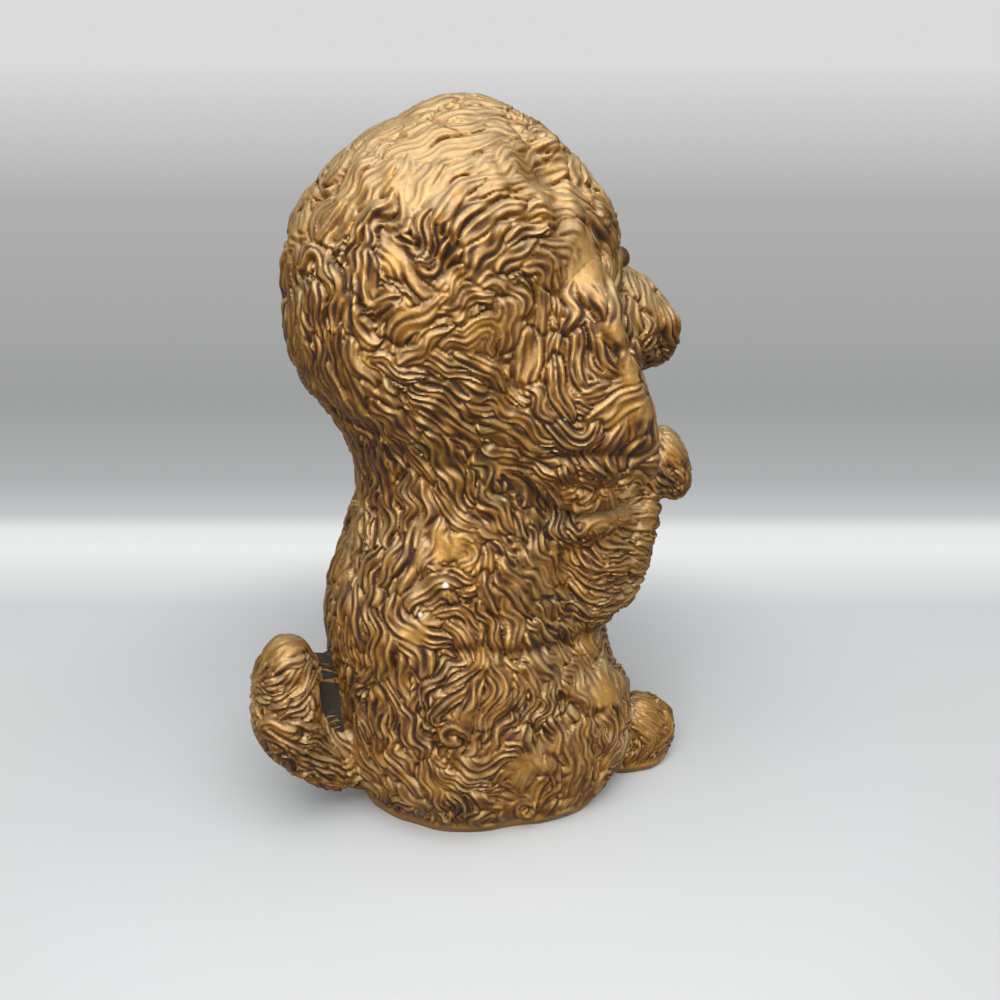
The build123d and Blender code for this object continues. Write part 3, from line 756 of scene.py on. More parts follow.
class Field:
    """The hair's way and the surface's facing, found at any place near the skin."""

    def __init__(self, points, facing, ways):
        self.points, self.facing, self.ways = points, facing, ways
        self.tree = KDTree(len(points))
        for index, place in enumerate(points):
            self.tree.insert(place, index)
        self.tree.balance()

    def follow(self, start, step, count):
        """Places, ways and facings along the hair from a place, on both sides of it."""
        halves = []
        for sign in (-1, 1):
            place, way = np.array(start), None
            line = []
            for _ in range(count + 1):
                index = self.tree.find(place)[1]
                turned = self.ways[index] * sign
                if way is not None and turned @ way < 0:
                    turned = -turned
                way = unit(0.5 * turned + 0.5 * way) if way is not None else turned
                facing = self.facing[index]
                place = place - facing * ((place - self.points[index]) @ facing)
                line.append((place, way * sign, facing))
                place = place + way * step
            halves.append(line)
        line = halves[0][:0:-1] + halves[1]
        return [np.array([item[column] for item in line]) for column in range(3)]


class Cells:
    """Vertices sorted into cubes, to find those near a place."""

    def __init__(self, points, size):
        self.points, self.size = points, size
        cells = np.floor(points / size).astype(int)
        self.low = cells.min(0) - 3
        self.span = cells.max(0) - self.low + 4
        key = self.key(cells - self.low)
        self.order = np.argsort(key, kind="stable")
        self.starts = np.searchsorted(key[self.order], np.arange(self.span.prod() + 1))

    def key(self, cells):
        """One number for each cube."""
        return (cells[..., 0] * self.span[1] + cells[..., 1]) * self.span[2] + cells[..., 2]

    def near(self, place, reach):
        """Numbers of the vertices within the reach of a place."""
        home = np.floor(place / self.size).astype(int) - self.low
        ring = int(math.ceil(reach / self.size))
        found = []
        for dx in range(-ring, ring + 1):
            for dy in range(-ring, ring + 1):
                column = home + (dx, dy, 0)
                if (column[:2] < 0).any() or (column[:2] >= self.span[:2]).any():
                    continue
                first = max(column[2] - ring, 0)
                last = min(column[2] + ring, self.span[2] - 1)
                start = self.starts[self.key(np.array((column[0], column[1], first)))]
                end = self.starts[self.key(np.array((column[0], column[1], last))) + 1]
                found.append(self.order[start:end])
        near = np.concatenate(found)
        gap = self.points[near] - place
        return near[np.einsum("ij,ij->i", gap, gap) < reach * reach]


def boxed(points, name, margin, sink=0):
    """Which points are in a node's box with a margin round it, the box's lowest corner and its middle."""
    low, high = (np.array(corner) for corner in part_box(name))
    low[2] -= sink
    return ((points > low - margin) & (points < high + margin)).all(1), low, (low + high) / 2


def lock_scale(points):
    """How large the locks are at each place: smaller on the feet, the paws and the tail."""
    scale = np.ones(len(points))
    for name, share in SMALL_LOCKS.items():
        scale[boxed(points, name, NEARBY)[0]] = share
    return scale


def lock_middles(points, coat, rng):
    """Numbers of the vertices in the middle of a lock, closer together where the locks are small."""
    sample = rng.choice(len(points), min(len(points), SAMPLE), replace=False)
    picked = sample[scatter(points[sample], coat.lock_spacing, rng)]
    close = sample[lock_scale(points[sample]) < SMALL]
    extra = close[scatter(points[close], CLOSER * coat.lock_spacing, rng)]
    return np.concatenate([picked, extra])


def strand_relief(turn, along, start, first, other):
    """How high the strands stand across and along one lock, from 0 in a groove to 1 on a crest."""
    wavy = 0.55 * np.cos(turn + 0.8 * np.sin(1.4 * along + first))
    wavy += 0.33 * np.cos(0.53 * turn + other + 1.4 * np.sin(along + start))
    wavy += 0.25 * np.cos(1.62 * turn + first - 1.2 * np.sin(0.8 * along + other))
    return np.clip(0.5 + 0.62 * wavy, 0, 1)


def carve(points, facing, field, coat, rng):
    """Height, strand relief and crevice depth of the coat at each vertex."""
    picked = lock_middles(points, coat, rng)
    cells = Cells(points, CUBE)
    count = len(points)
    best = np.full(count, -9.0)
    second = np.full(count, -9.0)
    strand = np.full(count, 0.5)
    lifted = np.zeros(count)
    for index, scale in zip(picked, lock_scale(points[picked])):
        length = coat.lock_length / 2 * scale * rng.uniform(*LENGTHS)
        width = coat.lock_width / 2 * scale * rng.uniform(*WIDTHS)
        strands = max(2, round(2 * width / (coat.groove_spacing * rng.uniform(*SPACINGS) * scale ** 0.5)))
        wave = rng.uniform(*WAVES) * MM
        sway = rng.uniform(*SWAYS) * MM * scale
        start, first, other = rng.uniform(0, 2 * math.pi, 3)
        deep = rng.uniform(*DEPTHS)
        order = rng.uniform(0, 1)
        lift = rng.uniform(*LIFTS) * scale
        line, ways, ups = field.follow(points[index], LOCK_STEP, int(length / LOCK_STEP) + 1)
        sides = np.cross(ups, ways)
        near = cells.near(points[index], length + 0.5 * width)
        gap = (points[near][:, None, :] - line[None, :, :]).astype(np.float32)
        closest = np.einsum("ijk,ijk->ij", gap, gap).argmin(1)
        gap = gap[np.arange(len(near)), closest]
        u = (closest - len(line) // 2) * LOCK_STEP + np.einsum("ij,ij->i", gap, ways[closest])
        v = np.einsum("ij,ij->i", gap, sides[closest])
        h = np.einsum("ij,ij->i", gap, ups[closest])
        part = u / length
        v = v - sway * np.sin(2 * math.pi * u / wave + start)
        narrow = width * np.maximum(1 - 0.12 * part - 0.5 * np.abs(part) ** 3, 0.2)
        q = part ** 4 + (v / narrow) ** 2
        alike = np.einsum("ij,ij->i", facing[near], ups[closest]) > 0.25
        keep = (q < 1.5) & (np.abs(h) < LOCK_REACH) & alike
        near, part, v, narrow, q, u = (row[keep] for row in (near, part, v, narrow, q, u))
        score = order + 1.1 * (1 - q)
        over = score > best[near]
        second[near] = np.maximum(second[near], np.minimum(score, best[near]))
        top = near[over]
        best[top] = score[over]
        turn = math.pi * strands * v[over] / narrow[over]
        along = 2 * math.pi * u[over] / wave
        strand[top] = 1 - deep * (1 - strand_relief(turn, along, start, first, other))
        lifted[top] = lift * (1 - 0.7 * q[over] + 0.15 * part[over]) + 0.5 * order
    soft = 0.85 + 0.35 * value_noise(points, 20 * MM, 24) - 0.2 * ramp(points[:, 2], 235 * MM, 285 * MM)
    strand = 1 - (1 - strand) * np.clip(soft, 0.4, 1.0)
    crevice = np.exp(-((best - second) / 0.2) ** 2) * ramp(value_noise(points, 9 * MM, 23), -0.5, 0.3)
    return lifted, strand, crevice


def mould(points, facing, tree):
    """How far the folds, the lumps and the face stand out at each vertex, and where they are smooth."""
    rise = np.zeros(len(points))
    smooth = np.zeros(len(points))
    ragged = 0.35 * value_noise(points, 5 * MM, 43)
    rise += 1.5 * MM * value_noise(points, 26 * MM, 44) + 0.8 * MM * value_noise(points, 12 * MM, 45)
    for x, y, radius, height in LUMPS:
        for place in both_sides(seen(tree, (x, y))):
            rise += height * MM * dome(points, place, radius * MM)
    for radius, height, spots in FOLDS:
        line = [np.array(seen(tree, spot)) for spot in spots]
        for path in (line, [place * (-1, 1, 1) for place in line]):
            rise += height * MM * np.exp(-(line_gap(points, path) / (radius * MM)) ** 2)
    for x, y, radius, share in SMOOTH_SPOTS:
        for place in both_sides(seen(tree, (x, y))):
            gap = np.linalg.norm(points - place, axis=1) / (radius * MM)
            smooth = np.maximum(smooth, share * (1 - ramp(gap + ragged, 0.45, 1.1)))
    smooth[boxed(points, "tail_web", 0.5 * MM)[0]] = 1
    base = 1 - ramp(points[:, 2], 3.0 * MM, 6.5 * MM)
    smooth = np.maximum(smooth, 0.95 * base)
    rise -= 0.9 * MM * (1 - ramp(points[:, 2], -0.5 * MM, 3.0 * MM))
    return rise, smooth


def face_parts(points, tree):
    """The rise and the dark paint of the eyes, the nose and the mouth at each vertex, with painted shade in
    the hollow under each brow.
    """
    rise = np.zeros(len(points))
    dark = np.zeros(len(points))
    # Painted shade in the hollow under each brow.
    for place in both_sides(seen(tree, HOLLOW_SPOT)):
        gap = np.linalg.norm(points - place, axis=1)
        dark = np.maximum(dark, 0.6 * (1 - ramp(gap, 3 * MM, 8.5 * MM)))
    depth, ring, width = (size * MM for size in LID)
    height, radius = (size * MM for size in EYEBALL)
    for side in SIDES.values():
        ahead = Vector((side * EYE[0] * MM, -0.3, EYE[1] * MM))
        place = np.array(tree.ray_cast(ahead, Vector((0, 1, 0)))[0])
        ball = np.linalg.norm(points - place, axis=1)
        rise -= depth * np.exp(-((ball - ring) / width) ** 2)
        rise += height * np.sqrt(np.maximum(1 - (ball / radius) ** 2, 0))
        dark = np.maximum(dark, 1 - ramp(ball, 4.0 * MM, 5.2 * MM))
    snout = (np.abs(points[:, 0]) < 3 * MM) & (points[:, 2] > 195 * MM) & (points[:, 2] < 232 * MM)
    tip = points[snout][points[snout][:, 1].argmin()]
    nose = np.array((0, tip[1] + 1.5 * MM, tip[2] + 7 * MM))
    off = (points - nose) / (np.array(NOSE) * MM)
    round_off = np.einsum("ij,ij->i", off, off)
    rise += 2.4 * MM * (1 - ramp(round_off, 0.55, 1.15))
    dark = np.maximum(dark, 1 - ramp(round_off, 0.75, 1.05))
    for side in SIDES.values():
        nostril = nose + np.array(NOSTRIL) * (side, 1, 1) * MM
        rise -= 2.0 * MM * dome(points, nostril, 2.0 * MM)
        lips = [np.array((side * x * MM, tip[1] + y * MM, tip[2] + z * MM)) for x, y, z in LIPS]
        gap = line_gap(points, lips)
        rise -= 1.7 * MM * np.exp(-(gap / (1.5 * MM)) ** 2)
        dark = np.maximum(dark, 0.7 * np.exp(-(gap / (1.3 * MM)) ** 2))
    return rise, dark


def toe_grooves(points):
    """How far the grooves between the toes of the paws and the hind feet go in at each vertex."""
    rise = np.zeros(len(points))
    for side in SIDES:
        inside, low, middle = boxed(points, side + "_hind_foot", NEARBY)
        front = 1 - ramp(points[:, 1], low[1] + 9 * MM, low[1] + 15 * MM)
        for off in HIND_TOES:
            gap = (points[:, 0] - middle[0] - off * MM) / (1.3 * MM)
            rise -= 1.8 * MM * front * inside * np.exp(-gap * gap)
        inside, low, middle = boxed(points, side + "_foreleg", NEARBY)
        paw = 1 - ramp(points[:, 2], low[2] + 12 * MM, low[2] + 18 * MM)
        ahead = 1 - ramp(points[:, 1], low[1] + 12 * MM, low[1] + 17 * MM)
        for off in FORE_TOES:
            gap = (points[:, 0] - middle[0] - off * MM) / (1.2 * MM)
            rise -= 1.6 * MM * paw * ahead * inside * np.exp(-gap * gap)
    return rise


def chips(points, tree):
    """1 where a chip has taken the paint off down to the plaster, on the right side only."""
    gone = np.zeros(len(points))
    for x, y, radius in CHIPS:
        place = np.array(seen(tree, (x, y)))
        edge = radius * MM * (1 + 0.35 * value_noise(points, 1.2 * MM, 41))
        gap = np.linalg.norm(points - place, axis=1)
        gone = np.maximum(gone, 1 - ramp(gap, 0.7 * edge, edge))
    return gone


def linear(colour):
    """An sRGB colour, by hex or by values, as the linear values that a shader takes."""
    values = srgb(colour) if isinstance(colour, str) else colour
    turned = [c / 12.92 if c <= 0.04045 else ((c + 0.055) / 1.055) ** 2.4 for c in values]
    return (*turned, 1.0)


def add(tree, kind, links=None, **settings):
    """Adds a node, sets its settings and sockets, and links its inputs."""
    node = tree.nodes.new(kind)
    for name, value in settings.items():
        setattr(node, name, value)
    for name, value in (links or {}).items():
        socket = node.inputs[name]
        if isinstance(value, bpy.types.NodeSocket):
            tree.links.new(value, socket)
        else:
            socket.default_value = value
    return node


def empty_material(name):
    """A new material, its empty node tree and its object coordinates."""
    made = bpy.data.materials.new(name)
    made.use_nodes = True
    made.node_tree.nodes.clear()
    place = add(made.node_tree, "ShaderNodeTexCoord").outputs["Object"]
    return made, made.node_tree, place


def bronze_paint():
    """Bronze paint brushed over maroon primer on cast plaster.

    The strands read as worn old gold over dark grooves: amber on the sides, rubbed brighter on the crests
    as wear with a painted highlight, umber as painted shade on what faces down, khaki for dust and painted
    light on what faces up and higher, maroon primer in the grooves with painted shade in the deeper hollows
    and painted light in mauve where they face up, ochre on the smooth places and chalk white where it is
    chipped.
    """
    paint = bpy.context.scene.chalkware_paint
    made, tree, place = empty_material("bronze_paint_brushed_over_primer")
    strand, hollow, smooth, chip, dark = (
        add(tree, "ShaderNodeAttribute", attribute_name=name).outputs["Fac"]
        for name in ("strand", "hollow", "smooth", "chip", "dark"))
    cloud, blotch, spot, dent, fleck, grain = (
        add(tree, "ShaderNodeTexNoise", {"Vector": place, "Scale": 1 / size, "Detail": 3.0}).outputs[0]
        for size in (paint.cloud, paint.blotch, paint.spot, paint.dent, paint.fleck, paint.grain))
    facing = add(tree, "ShaderNodeNewGeometry").outputs["Normal"]
    up = add(tree, "ShaderNodeSeparateXYZ", {0: facing}).outputs["Z"]
    level = add(tree, "ShaderNodeSeparateXYZ", {0: place}).outputs["Z"]
    ramps = {}
    # The ramp of what faces down gives the umber its painted shade.
    for name, values in {
            "upness": (up, -0.25, 0.85, 0.0, 1.0), "high": (level, 90 * MM, 270 * MM, 0.2, 0.5),
            "brushed": (blotch, 0.35, 0.68, 0.0, 1.0), "crest": (strand, 0.72, 1.0, 0.0, 1.0),
            "rubbed_highlight": (spot, 0.3, 0.6, 0.25, 0.75), "mottled": (cloud, 0.62, 0.4, 0.0, 0.55),
            "rusty": (spot, 0.6, 0.72, 0.0, 0.5), "between": (strand, 0.72, 0.25, 0.0, 1.0),
            "under": (up, 0.25, -0.55, 0.0, 0.7), "deep": (hollow, 0.2, 0.8, 0.0, 1.0),
            "speckled": (fleck, 0.1, 0.5, 0.7, 1.0), "rough": (fleck, 0.3, 0.7, 0.38, 0.52)}.items():
        ramps[name] = add(tree, "ShaderNodeMapRange", dict(zip(RANGE, values)),
                          interpolation_type="SMOOTHSTEP").outputs[0]
    # Dust clouds, with painted light that grows with height.
    dust_and_height_light = add(tree, "ShaderNodeMath", {0: cloud, 1: ramps["high"]}, operation="ADD").outputs[0]
    dust_and_height_light = add(tree, "ShaderNodeMapRange", dict(zip(RANGE, (dust_and_height_light, 0.35, 0.8, 0.0, 0.85)))).outputs[0]
    # The deeper hollows take the primer as painted shade.
    groove = add(tree, "ShaderNodeMath", {0: ramps["between"], 1: ramps["deep"]},
                 operation="MAXIMUM").outputs[0]
    # The rubbed crests are wear and also painted highlight; the up-facing mask is dust and also painted
    # light.
    crest, dust_and_painted_light, patch, worn, groove, dark = (
        add(tree, "ShaderNodeMath", {0: first, 1: second}, operation="MULTIPLY").outputs[0]
        for first, second in (
            (ramps["crest"], ramps["rubbed_highlight"]), (ramps["upness"], dust_and_height_light), (smooth, ramps["mottled"]),
            (ramps["crest"], ramps["rusty"]), (groove, ramps["speckled"]), (dark, 0.85)))
    # Painted light and shade on the primer: mauve where the grooves face up, dark maroon where they face
    # down.
    primer = add(tree, "ShaderNodeMix", {
        0: ramps["upness"], 6: linear(paint.primer), 7: linear(paint.mauve_painted_light)}, data_type="RGBA").outputs[2]
    colour = linear(paint.amber)
    for share, over in (
            (ramps["brushed"], linear(paint.gold)), (crest, linear(paint.rubbed_highlight)),
            (ramps["under"], linear(paint.umber_painted_shade)), (dust_and_painted_light, linear(paint.khaki_dust_and_painted_light)),
            (patch, linear(paint.ochre)), (worn, linear(paint.rust)), (groove, primer),
            (dark, linear(paint.nose)), (chip, linear(paint.plaster))):
        colour = add(tree, "ShaderNodeMix", {0: share, 6: colour, 7: over}, data_type="RGBA").outputs[2]
    bare = add(tree, "ShaderNodeMath", {0: groove, 1: chip}, operation="MAXIMUM").outputs[0]
    rough = add(tree, "ShaderNodeMath", {0: bare, 1: 0.42, 2: ramps["rough"]},
                operation="MULTIPLY_ADD").outputs[0]
    dull = add(tree, "ShaderNodeMath", {0: bare, 1: dust_and_painted_light}, operation="MAXIMUM").outputs[0]
    metal = add(tree, "ShaderNodeMapRange", dict(zip(RANGE, (dull, 0.0, 1.0, 0.65, 0.25)))).outputs[0]
    grit = add(tree, "ShaderNodeBump", {"Height": grain, "Strength": 0.35, "Distance": 0.25 * MM})
    dents = add(tree, "ShaderNodeBump", {
        "Height": dent, "Strength": 0.5, "Distance": 0.5 * MM, "Normal": grit.outputs["Normal"]})
    shader = add(tree, "ShaderNodeBsdfPrincipled", {
        "Base Color": colour, "Metallic": metal, "Roughness": rough, "IOR": 1.5,
        "Normal": dents.outputs["Normal"]})
    add(tree, "ShaderNodeOutputMaterial", {"Surface": shader.outputs["BSDF"]})
    return made


def patchy(name, size, detail, shades, strength, relief):
    """A new material, its node tree and its place, with the patches, colour and relief of two shades."""
    made, tree, place = empty_material(name)
    patches = add(tree, "ShaderNodeTexNoise", {
        "Vector": place, "Scale": 1 / size, "Detail": detail}).outputs["Fac"]
    colour = add(tree, "ShaderNodeMix", {
        "Factor": patches, 6: linear(shades[0]), 7: linear(shades[1])}, data_type="RGBA").outputs[2]
    bump = add(tree, "ShaderNodeBump", {"Height": patches, "Strength": strength, "Distance": relief})
    return made, tree, place, patches, colour, bump.outputs["Normal"]


def surfaced(tree, colour, bump, rough, metal=0.0):
    """Gives a material its surface."""
    shader = add(tree, "ShaderNodeBsdfPrincipled", {
        "Base Color": colour, "Metallic": metal, "Roughness": rough, "Normal": bump})
    add(tree, "ShaderNodeOutputMaterial", {"Surface": shader.outputs["BSDF"]})


def cast_plaster():
    """Bare cast plaster: matt, off-white and a little grimy, with small pits left by air bubbles."""
    paint = bpy.context.scene.chalkware_paint
    made, tree, place, _, colour, bump = patchy(
        "bare_cast_plaster", paint.grime_patch, 5.0, (paint.plaster, paint.grime), 0.5, 0.8 * MM)
    pits = add(tree, "ShaderNodeTexVoronoi", {"Vector": place, "Scale": 1 / paint.pit}).outputs["Distance"]
    pitted = add(tree, "ShaderNodeMapRange", {
        "Value": pits, "From Min": 0.05, "From Max": 0.3}).outputs["Result"]
    bump = add(tree, "ShaderNodeBump", {
        "Height": pitted, "Strength": 0.4, "Distance": 0.3 * MM, "Normal": bump}).outputs["Normal"]
    surfaced(tree, colour, bump, 0.92)
    return made


def slip_plaster():
    """Slip plaster run into the gap behind the tail: rough, and dark as painted shade, with brown paint
    here and there.
    """
    paint = bpy.context.scene.chalkware_paint
    made, tree, _, patches, slip, bump = patchy(
        "grimy_slip_plaster", paint.slip_patch, 6.0, (paint.slip, paint.slip_dark), 0.8, 1.2 * MM)
    stain = add(tree, "ShaderNodeMapRange", {
        "Value": patches, "From Min": 0.5, "From Max": 0.65, "To Max": 0.7}).outputs["Result"]
    colour = add(tree, "ShaderNodeMix", {
        "Factor": stain, 6: slip, 7: linear(paint.primer)}, data_type="RGBA").outputs[2]
    surfaced(tree, colour, bump, 0.85)
    return made


def drawn_iron():
    """Drawn iron wire: dark grey metal with a thin brown film of rust from the wet plaster."""
    paint = bpy.context.scene.chalkware_paint
    made, tree, _, _, colour, bump = patchy(
        "drawn_iron_wire", paint.rust_patch, 4.0, (paint.iron, paint.film), 0.3, 0.1 * MM)
    surfaced(tree, colour, bump, 0.6, 0.8)
    return made


@functools.lru_cache
def finish(name):
    """A finished material by its short name, made on first use."""
    makers = {"paint": bronze_paint, "plaster": cast_plaster, "slip": slip_plaster, "iron": drawn_iron}
    return makers[name]()


def loops_of(edges):
    """Edges grouped into chains that share vertices."""
    left = dict.fromkeys(edges)
    chains = []
    while left:
        queue = [left.popitem()[0]]
        chain = []
        while queue:
            edge = queue.pop()
            chain.append(edge)
            for vert in edge.verts:
                for other in vert.link_edges:
                    if other in left:
                        del left[other]
                        queue.append(other)
        chains.append(chain)
    return chains


def cap(bm, chain, backing):
    """Closes an open loop with rings keyed into the surface behind it, the first of them half as deep."""
    rim = dict.fromkeys(vert for edge in chain for vert in edge.verts)
    centre = sum((vert.co for vert in rim), Vector()) / len(rim)
    middle = backing.find_nearest(centre)[0]
    depth = bpy.context.scene.chalkware_skin.seat
    edges = chain
    for step in range(1, CAP_RINGS + 1):
        made = bmesh.ops.extrude_edge_only(bm, edges=edges)["geom"]
        verts = {item for item in made if isinstance(item, bmesh.types.BMVert)}
        edges = [item for item in made if isinstance(item, bmesh.types.BMEdge)]
        edges = [edge for edge in edges if all(vert in verts for vert in edge.verts)]
        share = 1 - step / (CAP_RINGS + 1)
        for vert in verts:
            wanted = middle.lerp(vert.co, share / (share + 1 / (CAP_RINGS + 1)))
            spot, outward = backing.find_nearest(wanted)[:2]
            vert.co = spot - min(step, 2) / 2 * depth * outward
    bmesh.ops.holes_fill(bm, edges=edges, sides=0)
    bmesh.ops.triangulate(bm, faces=[face for face in bm.faces if len(face.verts) > 4])


def blank(name):
    """The part of the parted skin that belongs to a piece, with every open loop closed, as a bmesh."""
    bm = bmesh.new()
    bm.from_mesh(bpy.data.meshes["blank_" + name])
    specks = [face for group in islands(bm)[:-1] if len(group) < SPECK for face in group]
    bmesh.ops.delete(bm, geom=specks, context="FACES")
    while True:
        pinched = {vert for vert in bm.verts
                   if sum(len(edge.link_faces) == 1 for edge in vert.link_edges) > 2}
        if not pinched:
            break
        faces = [face for face in bm.faces if not pinched.isdisjoint(face.verts)]
        bmesh.ops.delete(bm, geom=faces, context="FACES")
    backing = outer_backing()
    for chain in loops_of(open_edges(bm)):
        cap(bm, chain, backing)
    return bm


def close_gaps(bm):
    """Closes the last small gaps of a piece, and gives the edges that stay open."""
    for _ in range(MEND_ROUNDS):
        left = open_edges(bm)
        if not left:
            break
        bmesh.ops.holes_fill(bm, edges=left, sides=0)
        bmesh.ops.triangulate(bm, faces=[face for face in bm.faces if len(face.verts) > 4])
    return open_edges(bm)


def mended(bm, name):
    """The piece with its last small gaps closed, or a plain failure where it can't be closed."""
    left = close_gaps(bm)
    if left:
        raise RuntimeError(f"{name} has {len(left)} open edges")
    bmesh.ops.recalc_face_normals(bm, faces=bm.faces)
    if bm.calc_volume(signed=True) < 0:
        bmesh.ops.reverse_faces(bm, faces=bm.faces)
    return bm


def cut(bm, place, way):
    """Cuts away what lies beyond a plane and gives the edges of the cut."""
    made = bmesh.ops.bisect_plane(
        bm, geom=bm.verts[:] + bm.edges[:] + bm.faces[:], dist=1e-7,
        plane_co=place, plane_no=way, clear_outer=True)["geom_cut"]
    return [item for item in made if isinstance(item, bmesh.types.BMEdge)]


def fill(bm, edges):
    """Fills flat loops of edges with triangles of bare plaster."""
    made = bmesh.ops.triangle_fill(bm, use_beauty=True, edges=edges)
    for face in made["geom"]:
        if isinstance(face, bmesh.types.BMFace):
            face.material_index = 1


def finish_piece(bm, name, finishes, nodes):
    """Makes the closed piece an object that rides on the root body and stands for its nodes."""
    mended(bm, name)
    for edge in bm.edges:
        edge.smooth = edge.calc_face_angle(0) < SHARP
    obj = object_from(name, bm)
    for each in finishes:
        obj.data.materials.append(finish(each))
    obj.data.polygons.foreach_set("use_smooth", np.ones(len(obj.data.polygons), bool))
    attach(obj, "root")
    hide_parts(*nodes)


def make_stuck_on(name, look="paint"):
    """A solid casting: its part of the skin, closed by the face that it is stuck on with."""
    bm = blank(name)
    if min(vert.co.z for vert in bm.verts) < 0:
        fill(bm, cut(bm, (0, 0, 0), (0, 0, -1)))
    finish_piece(bm, name + "_casting", [look, "plaster"], [name])


class ChalkwareOperator(bpy.types.Operator):
    """Common to the operators: they can be undone."""

    bl_options = {"REGISTER", "UNDO"}


def hair_field(obj, smoother, coat, rng):
    """The faired skin's faces as a tree, and the way that the hair runs over it."""
    points = places(obj.data)
    facing = unit(smoother.smooth(normals(obj.data), 4))
    bm = bmesh.new()
    bm.from_mesh(obj.data)
    tree = BVHTree.FromBMesh(bm)
    bm.free()
    ways = unit(smoother.smooth(hair_flow(points, facing, tree, coat, rng), 2))
    return tree, Field(points, facing, ways)


class CHALKWARE_OT_skin(ChalkwareOperator):
    """Fair one skin over the outside of the whole figure and carve the coat into it"""

    bl_idname = "chalkware.skin"
    bl_label = "Skin and coat"

    def execute(self, context):
        skin = context.scene.chalkware_skin
        coat = context.scene.chalkware_coat
        rng = np.random.default_rng(COAT_SEED)
        obj = remeshed(object_from("skin", whole_outside()), skin.fairing, "skin")
        largest_island(obj)
        smoother = Smoother(obj.data)
        set_places(obj.data, smoother.fair(places(obj.data), skin.fairing_steps))
        tree, field = hair_field(obj, smoother, coat, rng)
        obj = remeshed(obj, skin.grain, "skin")
        smoother = Smoother(obj.data)
        set_places(obj.data, smoother.smooth(places(obj.data), 4))
        points = places(obj.data)
        facing = unit(smoother.smooth(normals(obj.data), 6))
        rise, smooth = mould(points, facing, tree)
        face_rise, dark = face_parts(points, tree)
        rise += face_rise + toe_grooves(points)
        shaped = points + rise[:, None] * facing
        lifted, strand, crevice = carve(points, facing, field, coat, rng)
        bare = (1 - smooth) * (1 - np.clip(1.3 * dark, 0, 1))
        bare *= SEAM_COAT + (1 - SEAM_COAT) * ramp(np.abs(points[:, 0]), *SEAM_REACH)
        worn = 0.75 + 0.3 * value_noise(points, 12 * MM, 31)
        height = coat.lock_lift * (lifted - LOCK_LEVEL) + coat.groove_depth * worn * (strand - STRAND_LEVEL)
        height = smoother.smooth((height - coat.crevice_depth * crevice) * bare, 1, 0.3)
        chip = chips(points, tree)
        height -= CHIP_DEPTH * chip
        set_places(obj.data, shaped + height[:, None] * facing)
        # How far each place lies below the smoothed coat, which the paint turns into painted shade in the
        # hollows.
        wide = smoother.smooth(height + rise, HOLLOW_STEPS)
        hollow = np.clip((wide - height - rise) / HOLLOW_DEPTH, 0, 1)
        strand = 1 - (1 - strand) * bare
        layers = {"strand": strand, "hollow": hollow, "smooth": smooth, "chip": chip, "dark": dark}
        for name, values in layers.items():
            layer = obj.data.attributes.new(name, "FLOAT", "POINT")
            layer.data.foreach_set("value", values.astype(np.float32))
        part_skin(obj, points, smoother)
        return {"FINISHED"}


def part_skin(obj, smooth_points, smoother):
    """Parts the skin along the real joints into one blank mesh for each piece."""
    count = len(smooth_points)
    owner = np.zeros(count, int)
    reach = np.full(count, 1e9)
    names = ["shells"] + STUCK_ON
    sink = bpy.context.scene.chalkware_skin.sink
    for number, name in enumerate(names):
        near = np.arange(count)
        tree = outer_backing()
        if name != "shells":
            bm = sunk(node_solid(name))
            tree = BVHTree.FromBMesh(bm)
            bm.free()
            near = np.nonzero(boxed(smooth_points, name, OWN_SKIN, sink)[0])[0]
        gap = np.array([tree.find_nearest(Vector(smooth_points[i]))[3] for i in near])
        closer = gap < reach[near]
        owner[near[closer]] = number
        reach[near] = np.minimum(reach[near], gap)
    votes = np.stack([smoother.smooth((owner == number).astype(float), 4) for number in range(len(names))])
    owner = votes.argmax(0)
    layer = obj.data.attributes.new("owner", "INT", "POINT")
    layer.data.foreach_set("value", owner.astype(np.int32))
    bm = bmesh.new()
    bm.from_mesh(obj.data)
    owners = bm.verts.layers.int["owner"]
    for face in bm.faces:
        counts = [vert[owners] for vert in face.verts]
        face.material_index = max(sorted(set(counts)), key=counts.count)
    for name in names:
        obj.data.materials.append(bpy.data.materials.new("sort_" + name))
    bm.to_mesh(obj.data)
    bm.free()
    bpy.context.view_layer.objects.active = obj
    obj.select_set(True)
    bpy.ops.object.mode_set(mode="EDIT")
    bpy.ops.mesh.select_all(action="SELECT")
    bpy.ops.mesh.separate(type="MATERIAL")
    bpy.ops.object.mode_set(mode="OBJECT")
    for piece in [o for o in bpy.context.scene.objects if o.name.split(".")[0] == "skin"]:
        mesh = piece.data
        name = mesh.materials[mesh.polygons[0].material_index].name[len("sort_"):]
        mesh.materials.clear()
        mesh.name = "blank_" + name
        mesh.use_fake_user = True
        bpy.data.objects.remove(piece)
    for name in names:
        bpy.data.materials.remove(bpy.data.materials["sort_" + name])


